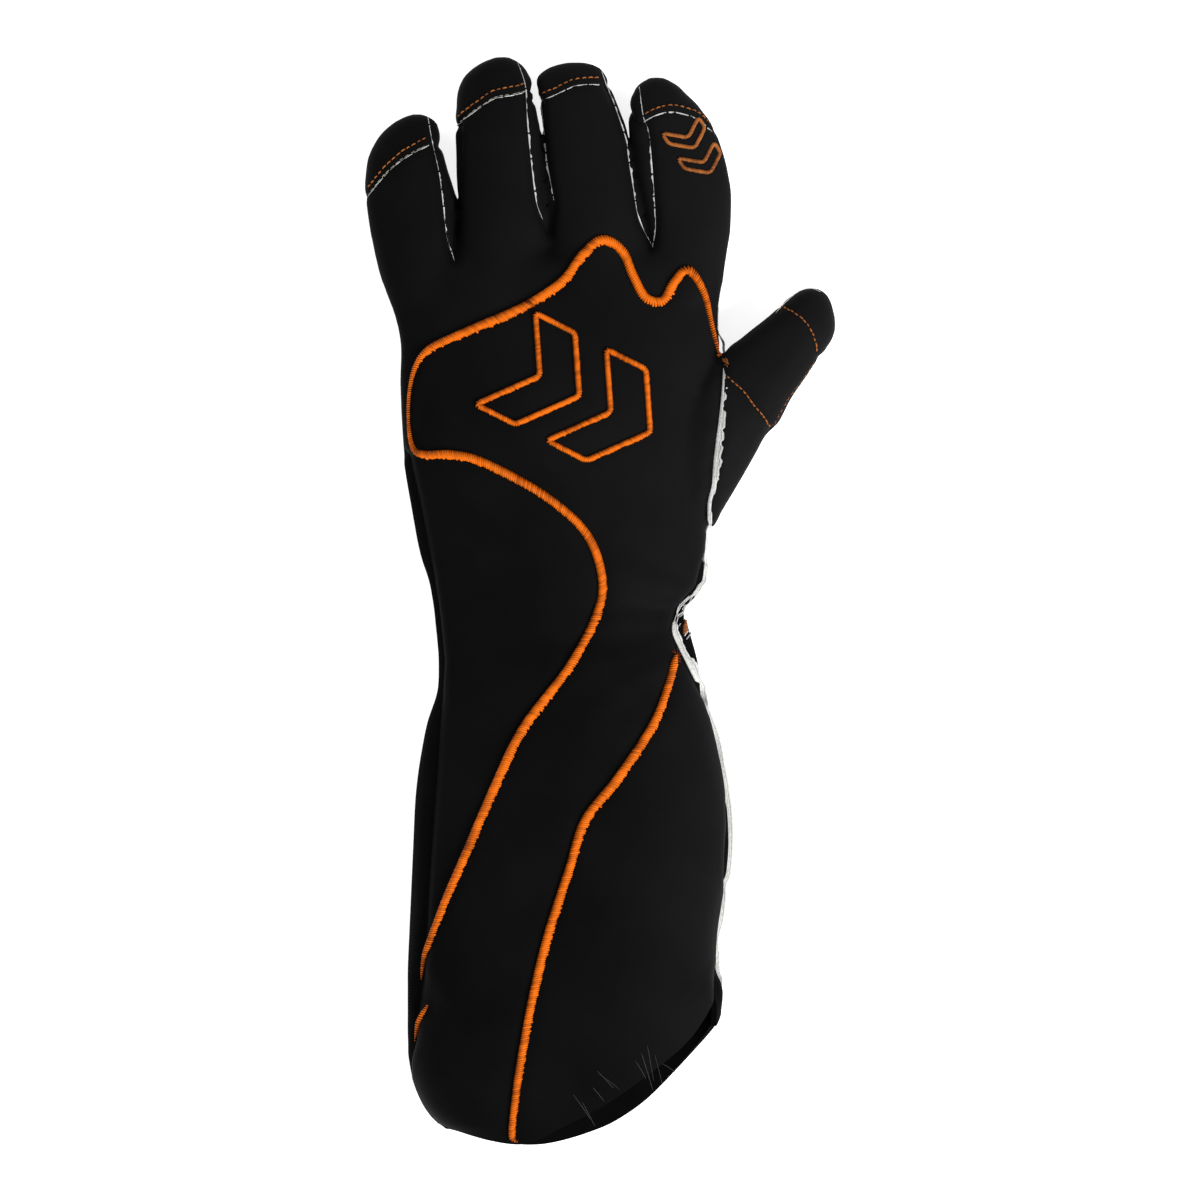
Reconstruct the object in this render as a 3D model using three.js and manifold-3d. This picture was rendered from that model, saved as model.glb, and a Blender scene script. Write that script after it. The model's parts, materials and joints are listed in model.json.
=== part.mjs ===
// A left-hand karting glove with a long gauntlet, lying palm down on a flat surface.
// +Y runs from the hem to the fingertips, +X to the thumb, +Z up from the palm to the back of the hand.
// The glove is a cloth shell, open at the hem and hollow to every fingertip. It is sewn from a back
// panel, a palm panel, strips between the fingers, fingertip caps and a four-piece thumb. A raw white
// seam edge runs down the thumb side, and raised orange cords decorate the back.
import * as THREE from "three";
import { mergeVertices } from "three/addons/utils/BufferGeometryUtils.js";
import Module from "manifold-3d";

const wasm = await Module();
wasm.setup();

// Driving sizes, in millimetres
const handLength = 188; // wrist line to the longest fingertip
const gauntletLength = 182; // wrist line to the lowest point of the hem
const palmWidth = 108;
const gauntletWidth = 108;
const palmThickness = 29;
const gauntletThickness = 46;
const fingerThickness = 19;
const thumbThickness = 23;
const wall = 2; // cloth with its padding
const seamGap = 0.3; // left between pieces that are sewn together
const fingertipRounding = 18; // length over which a fingertip closes
const thumbTipRounding = 13;
const thumbLength = 85; // from its root inside the palm to its tip
const stripHeight = 4.2; // height of the lower seam of the strips between the fingers
const cordWidth = 3.4;
const cordHeight = 1.7;
const emblemCordWidth = 2.3;
const emblemCordHeight = 1.3;
const emblemHeight = 37;
const chevronWidth = 15; // across one arm of a chevron of the emblem
const chevronPoint = 13; // how far its point leads
const chevronPitch = 27;
const edgeWidth = 2.6; // the white seam edge, out from the cloth
const edgeThickness = 1.5;
const edgeTop = 0.443; // its ends, as shares of the lengths of the hand and of the gauntlet
const edgeBottom = -0.7;
const edgeStep = 7;

// How the cloth lies
const seamShare = 0.4; // height of the side seam, as a share of the thickness
const topRoundness = 2.5; // superellipse powers: 2 is an ellipse, more is squarer
const bottomRoundness = 3;
const fingerRoundness = 2.3;
const floorSink = 1.2; // cloth that lies flat on the surface
const handCorners = 24;
const fingerCorners = 12;
const bodyStep = 17; // most between two cross-sections of the body

// Cross-sections of the gauntlet, from the hem to the wrist. along is a share of the gauntlet's length,
// left and right of its width, and top of its thickness.
const gauntletRows = [
  { along: -1.04, left: -0.475, right: 0.45, top: 1.0 },
  { along: -0.83, left: -0.494, right: 0.49, top: 1.0 },
  { along: -0.67, left: -0.494, right: 0.478, top: 0.99 },
  { along: -0.52, left: -0.482, right: 0.496, top: 0.95 },
  { along: -0.41, left: -0.476, right: 0.508, top: 0.91 },
  { along: -0.33, left: -0.467, right: 0.505, top: 0.86 },
  { along: -0.26, left: -0.448, right: 0.483, top: 0.8 },
  { along: -0.205, left: -0.429, right: 0.455, top: 0.75 },
  { along: -0.153, left: -0.4, right: 0.427, top: 0.69 },
  { along: -0.1, left: -0.397, right: 0.405, top: 0.65 },
  { along: -0.06, left: -0.401, right: 0.365, top: 0.61 },
  { along: -0.03, left: -0.405, right: 0.337, top: 0.6 },
];

// The palm, from the wrist to the roots of the fingers, as shares of the hand's length, the palm's width
// and the palm's thickness
const palmRows = [
  { along: 0.003, left: -0.41, right: 0.352, top: 0.93 },
  { along: 0.029, left: -0.417, right: 0.408, top: 0.94 },
  { along: 0.055, left: -0.426, right: 0.427, top: 0.95 },
  { along: 0.105, left: -0.455, right: 0.439, top: 0.98 },
  { along: 0.18, left: -0.48, right: 0.446, top: 1.0 },
  { along: 0.257, left: -0.502, right: 0.465, top: 1.0 },
  { along: 0.333, left: -0.514, right: 0.475, top: 0.98 },
  { along: 0.41, left: -0.52, right: 0.482, top: 0.93 },
  { along: 0.485, left: -0.52, right: 0.488, top: 0.86 },
  { along: 0.54, left: -0.545, right: 0.49, top: 0.79 },
  { along: 0.585, left: -0.57, right: 0.492, top: 0.72 },
  { along: 0.612, left: -0.56, right: 0.48, top: 0.62 },
];

// Each finger's centre line from its root to its tip, as shares of the palm's width (across) and of the
// hand's length (along), with its widths in shares of the palm's. seams holds how far out of the centre
// line the upper seam of a strip lies on either side, as shares of the half width, at seamPlaces. cap is
// how long the fingertip's cap is at its left, middle and right, as shares of the finger's length.
const fingers = [
  {
    name: "little",
    line: [[-0.44, 0.57], [-0.468, 0.66], [-0.484, 0.78], [-0.457, 0.895]],
    width: 0.276,
    rootWidth: 0.264,
    seams: { right: [0.83, 0.83, 0.8, 0.74, 0.55] },
    cap: { left: 0.43, middle: 0.255, right: 0.16 },
  },
  {
    name: "ring",
    line: [[-0.188, 0.57], [-0.195, 0.68], [-0.205, 0.88], [-0.2, 1.0]],
    width: 0.272,
    rootWidth: 0.306,
    seams: { left: [-0.83, -0.83, -0.83, -0.83, -0.7], right: [0.83, 0.83, 0.74, 0.72, 0.6] },
    cap: { left: 0.285, middle: 0.16, right: 0.135 },
  },
  {
    name: "middle",
    line: [[0.112, 0.57], [0.1, 0.68], [0.05, 0.88], [0.026, 0.99]],
    width: 0.268,
    rootWidth: 0.31,
    seams: { left: [-0.83, -0.83, -0.83, -0.83, -0.7], right: [0.83, 0.83, 0.83, 0.83, 0.65] },
    cap: { left: 0.163, middle: 0.113, right: 0.1 },
  },
  {
    name: "index",
    line: [[0.374, 0.57], [0.392, 0.68], [0.364, 0.84], [0.274, 0.965]],
    width: 0.284,
    rootWidth: 0.286,
    seams: { left: [-0.83, -0.78, -0.62, -0.55, -0.5] },
    cap: { left: 0.184, middle: 0.17, right: 0.224 },
  },
];
const seamPlaces = [0.3, 0.45, 0.65, 0.82, 0.93];
const crotches = { across: [-0.328, -0.044, 0.262], along: [0.625, 0.665, 0.648] };

// How a finger's cross-section goes from root to tip: at is a share of its length, full is how far its
// width has gone from that of its root to its own, taper is a share of that width, and top and lift (clear
// of the surface) are shares of its thickness
const fingerRows = [
  { at: 0, full: 0, taper: 1, top: 1.03, lift: 0 },
  { at: 0.3, full: 0.45, taper: 1, top: 1.05, lift: 0.06 },
  { at: 0.5, full: 0.95, taper: 1, top: 1.01, lift: 0.1 },
  { at: 0.65, full: 1, taper: 0.985, top: 0.97, lift: 0.08 },
  { at: 0.8, full: 1, taper: 0.94, top: 0.89, lift: 0.03 },
  { at: 1, full: 1, taper: 0.87, top: 0.76, lift: 0 },
];

// The thumb leaves the palm under the back panel's edge. Its centre line is in shares of thumbLength from
// its root, and its width and thickness in shares of thumbThickness.
const thumbRoot = { across: 0.303, along: 0.226 };
const thumbLine = [[0, 0], [0.369, 0.412], [0.661, 0.751]];
const thumbRows = [
  { at: 0, width: 2.0, top: 1.0, lift: 0 },
  { at: 0.18, width: 1.78, top: 1.04, lift: 0 },
  { at: 0.36, width: 1.54, top: 1.02, lift: 0 },
  { at: 0.55, width: 1.24, top: 0.97, lift: 0.02 },
  { at: 0.72, width: 1.06, top: 0.89, lift: 0.03 },
  { at: 0.86, width: 0.96, top: 0.82, lift: 0.02 },
  { at: 1, width: 0.95, top: 0.76, lift: 0 },
];
const thumbCap = { left: 0.153, middle: 0.147, right: 0.206 };
const thumbSleeve = { left: 0.506, middle: 0.518, right: 0.553 }; // its lower seam

// Hem lines seen from above: across in shares of the gauntlet's width, along of its length
const backHem = [
  [-0.6, -0.76], [-0.485, -0.831], [-0.463, -0.877], [-0.391, -0.939], [-0.268, -0.982],
  [-0.136, -0.997], [-0.004, -0.954], [0.119, -0.915], [0.245, -0.866], [0.368, -0.808],
  [0.434, -0.76], [0.481, -0.706], [0.6, -0.6],
];
const palmHem = [
  [-0.6, -0.77], [-0.488, -0.85], [-0.463, -0.895], [-0.391, -0.95], [-0.268, -0.988],
  [-0.13, -1.003], [-0.004, -0.99], [0.119, -0.96], [0.245, -0.912], [0.374, -0.845],
  [0.481, -0.776], [0.505, -0.735], [0.6, -0.65],
];

// Dents (negative) and folds (positive) of the back, as shares: across and along as for the cords, reach of
// the palm's width, and depth of its thickness. turn is the direction of a long one, in degrees from +X,
// and slim how much narrower it is than it is long.
const dents = [
  { across: -0.2, along: -0.02, reach: 0.3, slim: 0.45, turn: 90, depth: -0.09 },
  { across: 0.2, along: 0.06, reach: 0.16, slim: 0.3, turn: 165, depth: 0.07 },
  { across: 0.2, along: -0.05, reach: 0.2, slim: 0.25, turn: 8, depth: -0.09 },
  { across: 0.19, along: -0.14, reach: 0.17, slim: 0.3, turn: 40, depth: 0.07 },
  { across: -0.1, along: -0.2, reach: 0.3, slim: 0.35, turn: 20, depth: -0.07 },
  { across: -0.46, along: -0.71, reach: 0.1, slim: 0.35, turn: -50, depth: -0.2 },
];

// Routes of the orange cords on the back, from above: across and along in shares of the palm's width and
// the hand's length towards the fingers, and of the gauntlet's towards the hem
const contourRoute = [
  [0.482, 0.465], [0.464, 0.51], [0.437, 0.575], [0.39, 0.615], [0.345, 0.593], [0.31, 0.56],
  [0.255, 0.565], [0.215, 0.605], [0.18, 0.65], [0.12, 0.67], [0.06, 0.645], [-0.01, 0.593],
  [-0.14, 0.545], [-0.31, 0.503], [-0.435, 0.458], [-0.468, 0.4], [-0.47, 0.325], [-0.45, 0.29],
  [-0.38, 0.28], [-0.25, 0.265], [-0.07, 0.21], [0.06, 0.145], [0.115, 0.07], [0.105, 0.0],
  [0.02, -0.1], [-0.13, -0.22], [-0.22, -0.33], [-0.3, -0.44], [-0.38, -0.55], [-0.435, -0.64],
  [-0.449, -0.685],
];
const hemCordRoute = [
  [-0.43, -0.735], [-0.455, -0.765], [-0.468, -0.8],
];
const gauntletCordRoute = [
  [0.347, -0.085], [0.33, -0.13], [0.28, -0.21], [0.17, -0.31], [0.065, -0.39], [0.015, -0.48],
  [-0.05, -0.6], [-0.1, -0.72], [-0.14, -0.85], [-0.165, -0.975],
];

// The emblem: two plain outlined chevrons that point to the thumb
const emblemPlace = { across: 0.042, along: 0.388 };
const emblemTurn = -27; // degrees, of the way that it points
const emblemSlant = 84; // degrees between that way and its height
const chevrons = 2;

// How high the side seam lies on the little finger's side, as a share of the thickness: the palm panel
// wraps up over that side below the knuckles
const littleSideSeam = [
  { along: -1.1, share: 0.72 },
  { along: -0.3, share: 0.74 },
  { along: 0.05, share: 0.74 },
  { along: 0.2, share: 0.6 },
  { along: 0.3, share: 0.4 },
  { along: 1.1, share: 0.4 },
];

// Small helpers
const rad = THREE.MathUtils.degToRad;
const clothBlack = new THREE.MeshStandardMaterial({ color: 0x151515, roughness: 0.82, metalness: 0 });
const palmBlack = new THREE.MeshStandardMaterial({ color: 0x101010, roughness: 0.9, metalness: 0 });
const rawWhite = new THREE.MeshStandardMaterial({ color: 0xe4e4e2, roughness: 0.9, metalness: 0 });
const threadOrange = new THREE.MeshStandardMaterial({ color: 0xf0700f, roughness: 0.45, metalness: 0 });

// Places on the glove from shares: of the hand's sizes above the wrist line, of the gauntlet's below it
function lengthwise(along) {
  return along * (along > 0 ? handLength : gauntletLength);
}
function crosswise(across, along) {
  return across * (along > 0 ? palmWidth : gauntletWidth);
}

// A closed solid from a geometry whose shared corners are merged
function solidOf(geometry) {
  const bare = geometry.clone();
  bare.deleteAttribute("normal");
  bare.deleteAttribute("uv");
  const merged = mergeVertices(bare, 1e-4);
  return new wasm.Manifold(
    new wasm.Mesh({
      numProp: 3,
      vertProperties: new Float32Array(merged.attributes.position.array),
      triVerts: new Uint32Array(merged.index.array),
    }),
  );
}

function geometryOf(solid) {
  const mesh = solid.getMesh();
  const positions = new Float32Array(mesh.numVert * 3);
  for (let i = 0; i < mesh.numVert; i++)
    positions.set(mesh.vertProperties.subarray(i * mesh.numProp, i * mesh.numProp + 3), i * 3);
  const geometry = new THREE.BufferGeometry();
  geometry.setAttribute("position", new THREE.BufferAttribute(positions, 3));
  geometry.setIndex(new THREE.BufferAttribute(new Uint32Array(mesh.triVerts), 1));
  return geometry;
}

// A closed skin over rings of points, with a fan at each end, or joined end to start
function loft(rings, joined = false) {
  const corners = rings[0].length;
  const positions = rings.flat().flatMap((p) => [p.x, p.y, p.z]);
  const index = [];
  for (let r = 0; r + (joined ? 0 : 1) < rings.length; r++)
    for (let c = 0; c < corners; c++) {
      const next = (c + 1) % corners;
      const [a, b] = [r * corners + c, r * corners + next];
      const ahead = ((r + 1) % rings.length) * corners;
      index.push(a, b, ahead + c, b, ahead + next, ahead + c);
    }
  (joined ? [] : [0, rings.length - 1]).forEach((r) => {
    const middle = new THREE.Vector3();
    rings[r].forEach((p) => middle.addScaledVector(p, 1 / corners));
    const centre = positions.length / 3;
    positions.push(middle.x, middle.y, middle.z);
    for (let c = 0; c < corners; c++) {
      const a = r * corners + c;
      const b = r * corners + ((c + 1) % corners);
      index.push(...(r === 0 ? [centre, b, a] : [centre, a, b]));
    }
  });
  const geometry = new THREE.BufferGeometry();
  geometry.setAttribute("position", new THREE.BufferAttribute(new Float32Array(positions), 3));
  geometry.setIndex(index);
  return solidOf(geometry);
}

// A smooth value through the rows of a table, by their place
function valueAt(rows, place, column, at) {
  const last = rows.length - 1;
  let i = 0;
  while (i < last - 1 && rows[i + 1][place] < at) i++;
  const slope = (k) => {
    const before = rows[Math.max(k - 1, 0)];
    const after = rows[Math.min(k + 1, last)];
    return (after[column] - before[column]) / (after[place] - before[place]);
  };
  const span = rows[i + 1][place] - rows[i][place];
  const t = THREE.MathUtils.clamp((at - rows[i][place]) / span, 0, 1);
  const [t2, t3] = [t * t, t * t * t];
  return (
    (2 * t3 - 3 * t2 + 1) * rows[i][column] +
    (t3 - 2 * t2 + t) * span * slope(i) +
    (3 * t2 - 2 * t3) * rows[i + 1][column] +
    (t3 - t2) * span * slope(i + 1)
  );
}

function superPower(value, power) {
  return Math.sign(value) * Math.abs(value) ** (2 / power);
}

// The body of the glove: every cross-section in millimetres
const bodyRows = [
  ...gauntletRows.map((row) => ({
    y: row.along * gauntletLength,
    left: row.left * gauntletWidth,
    right: row.right * gauntletWidth,
    top: row.top * gauntletThickness,
  })),
  ...palmRows.map((row) => ({
    y: row.along * handLength,
    left: row.left * palmWidth,
    right: row.right * palmWidth,
    top: row.top * palmThickness,
  })),
];
const bodyFrom = bodyRows[0].y;
const bodyTo = bodyRows[bodyRows.length - 1].y;
const bodyAt = (column, y) => valueAt(bodyRows, "y", column, y);

function dentAt(x, y) {
  return dents.reduce((sum, dent) => {
    const turn = rad(dent.turn);
    const dx = x - crosswise(dent.across, dent.along);
    const dy = y - lengthwise(dent.along);
    const along = (dx * Math.cos(turn) + dy * Math.sin(turn)) / (dent.reach * palmWidth);
    const across = (dy * Math.cos(turn) - dx * Math.sin(turn)) / (dent.reach * dent.slim * palmWidth);
    return sum + dent.depth * palmThickness * Math.exp(-along * along - across * across);
  }, 0);
}

// offset is 0 for the outside of the cloth, -wall for its inside, and more than 0 for a clearance
function bodyRing(y, offset) {
  const left = bodyAt("left", y) - offset;
  const right = bodyAt("right", y) + offset;
  const top = bodyAt("top", y);
  const seam = top * seamShare;
  const middle = (left + right) / 2;
  const half = (right - left) / 2;
  return Array.from({ length: handCorners }, (_, corner) => {
    const angle = (2 * Math.PI * corner) / handCorners;
    const above = Math.sin(angle) >= 0;
    const power = above ? topRoundness : bottomRoundness;
    const x = middle + half * superPower(Math.cos(angle), power);
    const rise = superPower(Math.sin(angle), power);
    const reach = above ? top - seam + dentAt(x, y) * rise : seam + floorSink;
    return new THREE.Vector3(x, y, seam + (reach + offset) * rise);
  });
}

function bodySolid(offset) {
  const steps = bodyRows.flatMap((row, i) => {
    const next = bodyRows[i + 1];
    if (!next) return [row.y];
    const pieces = Math.max(1, Math.round((next.y - row.y) / bodyStep));
    return Array.from({ length: pieces }, (_, k) => row.y + ((next.y - row.y) * k) / pieces);
  });
  const rings = steps.map((y) => bodyRing(y, offset));
  const shift = (ring, by) => ring.forEach((p) => (p.y += by));
  shift(rings[0], -Math.abs(offset)); // the inside runs out past the outside, so the hem is open
  shift(rings[rings.length - 1], offset);
  return loft(rings.reverse());
}

// A digit is a finger or the thumb: a curved centre line seen from above, with rows of widths and heights
function digitOf(name, points, rows, rounding, cap) {
  const line = new THREE.CatmullRomCurve3(points.map(([x, y]) => new THREE.Vector3(x, y, 0)));
  const length = line.getLength();
  const end = line.getPointAt(1);
  const endDirection = line.getTangentAt(1);
  const at = (distance) => {
    if (distance > length)
      return { point: end.clone().addScaledVector(endDirection, distance - length), direction: endDirection };
    const share = Math.max(distance, 0) / length;
    return { point: line.getPointAt(share), direction: line.getTangentAt(share) };
  };
  return { name, rows, rounding, cap, length, at };
}

// How much of its section a fingertip still has, part of the way through its rounding
function closingAt(part) {
  const into = THREE.MathUtils.clamp(part, 0, 1);
  return Math.max(Math.sqrt(1 - into * into), 0.16);
}

function digitRing(digit, distance, offset) {
  const { point, direction } = digit.at(distance);
  const share = Math.min(distance / digit.length, 1);
  const value = (column) => valueAt(digit.rows, "at", column, share);
  const start = digit.length + offset - digit.rounding;
  const closing = closingAt((distance - start) / digit.rounding);
  const lift = value("lift");
  const top = value("top");
  const middle = lift + (top - lift) * (seamShare + 0.05);
  const half = (value("width") / 2 + offset) * closing;
  const sideways = new THREE.Vector3(direction.y, -direction.x, 0);
  return Array.from({ length: fingerCorners }, (_, corner) => {
    const angle = (2 * Math.PI * corner) / fingerCorners;
    const rise = superPower(Math.sin(angle), fingerRoundness);
    const reach = rise >= 0 ? top - middle : middle - lift + floorSink;
    const out = half * superPower(Math.cos(angle), fingerRoundness);
    const place = point.clone().addScaledVector(sideways, out);
    return place.setZ(middle + (reach + offset) * closing * rise);
  });
}

function digitSolid(digit, offset) {
  const reach = digit.length + offset;
  const straight = reach - digit.rounding;
  const distances = [
    ...[0, 0.3, 0.55, 0.78].map((share) => share * straight),
    ...[0, 0.42, 0.72, 0.92, 1].map((share) => straight + share * digit.rounding),
  ];
  return loft(distances.map((distance) => digitRing(digit, distance, offset)).reverse());
}

const fingerDigits = fingers.map((finger) =>
  digitOf(
    finger.name,
    finger.line.map(([across, along]) => [across * palmWidth, lengthwise(along)]),
    fingerRows.map((row) => ({
      at: row.at,
      width: THREE.MathUtils.lerp(finger.rootWidth, finger.width, row.full) * row.taper * palmWidth,
      top: row.top * fingerThickness,
      lift: row.lift * fingerThickness,
    })),
    fingertipRounding,
    finger.cap,
  ),
);
const thumb = digitOf(
  "thumb",
  thumbLine.map(([across, along]) => [
    thumbRoot.across * palmWidth + across * thumbLength,
    thumbRoot.along * handLength + along * thumbLength,
  ]),
  thumbRows.map((row) => ({
    at: row.at,
    width: row.width * thumbThickness,
    top: row.top * thumbThickness,
    lift: row.lift * thumbThickness,
  })),
  thumbTipRounding,
  thumbCap,
);

// A prism over a polygon seen from above, from far below to far above
const far = 2 * (handLength + gauntletLength);
function planPrism(points) {
  const shape = new THREE.Shape(points.map(([x, y]) => new THREE.Vector2(x, y)));
  const geometry = new THREE.ExtrudeGeometry(shape, { depth: far, bevelEnabled: false, steps: 1 });
  geometry.translate(0, 0, -far / 2);
  return solidOf(geometry);
}

// Everything above a height, as a slab under which nothing is left
function aboveHeight(height) {
  const box = new THREE.BoxGeometry(far, far, far);
  box.translate(0, 0, height + far / 2);
  return solidOf(box);
}

// The whole glove as one solid, its surface moved out by offset, and flattened where it lies
function gloveSolid(offset) {
  const digits = [...fingerDigits, thumb].map((digit) => digitSolid(digit, offset));
  const joined = digits.reduce((sum, digit) => sum.add(digit), bodySolid(offset));
  return joined.intersect(aboveHeight(-offset));
}

const outside = gloveSolid(0);
const shell = outside.subtract(gloveSolid(-wall));
const clearOfCloth = gloveSolid(seamGap);

// Height of the side seam between back and palm: level with each section's widest line, and higher on
// the little finger's side
function seamAt(y) {
  return (y > bodyTo ? fingerThickness : bodyAt("top", y)) * seamShare;
}
const littleSideRows = littleSideSeam.map((row) => ({ y: lengthwise(row.along), share: row.share }));
function seamSurface(x, y) {
  const side = THREE.MathUtils.clamp(y, bodyFrom, bodyTo);
  const [left, right] = [bodyAt("left", side), bodyAt("right", side)];
  const across = THREE.MathUtils.smoothstep(x, left + 2 * wall, (left + right) / 2);
  const high = (seamAt(y) / seamShare) * valueAt(littleSideRows, "y", "share", y);
  return THREE.MathUtils.lerp(high, seamAt(y), across);
}

// Everything between two heights that are given for every place, over a grid that follows the body's sides
const gridShares = [-0.08, 0.02, 0.07, 0.12, 0.19, 0.28, 0.4, 0.52, 1.08];
function between(low, high) {
  const rowCount = Math.ceil((bodyTo - bodyFrom) / bodyStep);
  const inner = Array.from({ length: rowCount + 1 }, (_, i) => bodyFrom + ((bodyTo - bodyFrom) * i) / rowCount);
  const ys = [-far / 2, ...inner, bodyTo + 1, far / 2];
  const xsAt = (y) => {
    const side = THREE.MathUtils.clamp(y, bodyFrom, bodyTo);
    const inside = gridShares.map((share) =>
      THREE.MathUtils.lerp(bodyAt("left", side), bodyAt("right", side), share),
    );
    return [-far / 2, ...inside, far / 2];
  };
  const [columns, rows] = [gridShares.length + 2, ys.length];
  const positions = [low, high].flatMap((height) =>
    ys.flatMap((y) => xsAt(y).flatMap((x) => [x, y, height(x, y)])),
  );
  const at = (layer, column, row) => (layer * rows + row) * columns + column;
  const index = [];
  const quad = (a, b, c, d) => index.push(a, b, c, a, c, d);
  for (let row = 0; row + 1 < rows; row++)
    for (let column = 0; column + 1 < columns; column++) {
      const [a, b] = [at(0, column, row), at(0, column + 1, row)];
      const [c, d] = [at(0, column + 1, row + 1), at(0, column, row + 1)];
      const layer = rows * columns;
      index.push(a, c, b, a, d, c);
      quad(a + layer, b + layer, c + layer, d + layer);
    }
  for (let column = 0; column + 1 < columns; column++) {
    quad(at(0, column, 0), at(0, column + 1, 0), at(1, column + 1, 0), at(1, column, 0));
    const last = rows - 1;
    quad(at(0, column + 1, last), at(0, column, last), at(1, column, last), at(1, column + 1, last));
  }
  for (let row = 0; row + 1 < rows; row++) {
    quad(at(0, 0, row + 1), at(0, 0, row), at(1, 0, row), at(1, 0, row + 1));
    const last = columns - 1;
    quad(at(0, last, row), at(0, last, row + 1), at(1, last, row + 1), at(1, last, row));
  }
  const geometry = new THREE.BufferGeometry();
  geometry.setAttribute("position", new THREE.BufferAttribute(new Float32Array(positions), 3));
  geometry.setIndex(index);
  return solidOf(geometry);
}

// The zone beyond a seam across a digit, from above. The seam's three distances from the tip are shares
// of the digit's length.
function beyondSeam(digit, shares, gap) {
  const seam = {
    left: shares.left * digit.length,
    middle: shares.middle * digit.length,
    right: shares.right * digit.length,
  };
  const place = (out, fromTip) => {
    const { point, direction } = digit.at(digit.length - fromTip + gap);
    return [point.x + direction.y * out, point.y - direction.x * out];
  };
  const halfAt = (fromTip) => {
    const share = 1 - Math.max(fromTip, 0) / digit.length;
    return (valueAt(digit.rows, "at", "width", share) / 2) * closingAt(1 - fromTip / digit.rounding);
  };
  const side = (sign, fromTip) => place(sign * (halfAt(fromTip) + 2 * seamGap), fromTip);
  const across = new THREE.QuadraticBezierCurve(
    new THREE.Vector2(-halfAt(seam.left), seam.left),
    new THREE.Vector2(0, 2 * seam.middle - (seam.left + seam.right) / 2),
    new THREE.Vector2(halfAt(seam.right), seam.right),
  );
  const sideShares = [1, 0.6, 0.3, 0.1];
  return planPrism([
    ...across.getPoints(5).map((p) => place(p.x, p.y)),
    ...sideShares.map((share) => side(1, share * seam.right)),
    side(1, -wall),
    side(-1, -wall),
    ...sideShares.reverse().map((share) => side(-1, share * seam.left)),
  ]);
}

// The zone of the thumb: all that lies outside the palm's thumb-side edge
function thumbZone(gap) {
  const from = 0.1 * handLength;
  const to = 0.5 * handLength;
  const edge = [];
  for (let step = 0; step <= 12; step++) {
    const y = from + ((to - from) * step) / 12;
    edge.push([bodyAt("right", y) + 2 * seamGap + gap, y]);
  }
  return planPrism([[palmWidth, from], [palmWidth, to + thumbLength], ...edge.reverse()]);
}

// The zone of the strip between two neighbouring fingers, from above: between the upper seams of the
// first finger's right side and the second's left side, down to their crotch
function stripZone(place, gap) {
  const seamLine = (digit, shares, side) =>
    shares.map((share, i) => {
      const along = seamPlaces[i] * digit.length;
      const { point, direction } = digit.at(along);
      const out = (share * valueAt(digit.rows, "at", "width", seamPlaces[i])) / 2 + side * gap;
      return [point.x + out * direction.y, point.y - out * direction.x];
    });
  const crotch = [crotches.across[place] * palmWidth, crotches.along[place] * handLength - 3 * gap];
  return planPrism([
    crotch,
    ...seamLine(fingerDigits[place], fingers[place].seams.right, -1),
    ...seamLine(fingerDigits[place + 1], fingers[place + 1].seams.left, 1).reverse(),
  ]);
}

function hemPrism(route) {
  const curve = new THREE.SplineCurve(
    route.map(([across, along]) => new THREE.Vector2(across * gauntletWidth, along * gauntletLength)),
  );
  const points = curve.getPoints(22).map((p) => [p.x, p.y]);
  return planPrism([...points, [gauntletWidth, -far], [-gauntletWidth, -far]]);
}

const half = seamGap / 2;
const seamTop = gauntletThickness + palmThickness;
const fingerCaps = fingerDigits.map((digit) => ({
  digit,
  piece: beyondSeam(digit, digit.cap, half),
  cut: beyondSeam(digit, digit.cap, -half),
}));
const strips = fingers.slice(1).map((finger, i) => ({
  name: fingers[i].name + "_" + finger.name,
  piece: stripZone(i, -half).intersect(aboveHeight(stripHeight + half)),
  cut: stripZone(i, half).intersect(aboveHeight(stripHeight - half)),
}));
const upper = between((x, y) => seamSurface(x, y) + half, () => seamTop);
const lower = between(() => -seamTop, (x, y) => seamSurface(x, y) - half);

// A piece without the crumbs that a cut leaves where it grazes a wall
function whole(solid) {
  const bodies = solid.decompose().filter((body) => body.volume() > wall ** 3 / 4);
  return bodies.reduce((sum, body) => sum.add(body));
}

const without = (solid, cutters) => cutters.reduce((rest, cutter) => rest.subtract(cutter), solid);
const hand = without(shell, [thumbZone(-half), ...fingerCaps.map((cap) => cap.cut)]);
const panels = without(hand, strips.map((strip) => strip.cut));
const thumbShell = shell.intersect(thumbZone(half));

const clothPieces = {
  back_panel: panels.intersect(upper).subtract(hemPrism(backHem)),
  palm_panel: panels.intersect(lower).subtract(hemPrism(palmHem)),
};
strips.forEach((strip) => {
  clothPieces["side_strip_" + strip.name] = hand.intersect(strip.piece);
});
fingerCaps.forEach((cap) => {
  clothPieces["fingertip_" + cap.digit.name] = shell.intersect(cap.piece);
});

const capLine = (gap) => beyondSeam(thumb, thumbCap, gap);
const sleeveLine = (gap) => beyondSeam(thumb, thumbSleeve, gap);
const thumbBody = thumbShell.subtract(capLine(-half));
clothPieces.fingertip_thumb = thumbShell.intersect(capLine(half));
clothPieces.thumb_sleeve = thumbBody.intersect(sleeveLine(half)).intersect(upper);
clothPieces.thumb_gusset = thumbBody.subtract(sleeveLine(-half)).intersect(upper);
clothPieces.thumb_underside = thumbBody.intersect(lower);

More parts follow.
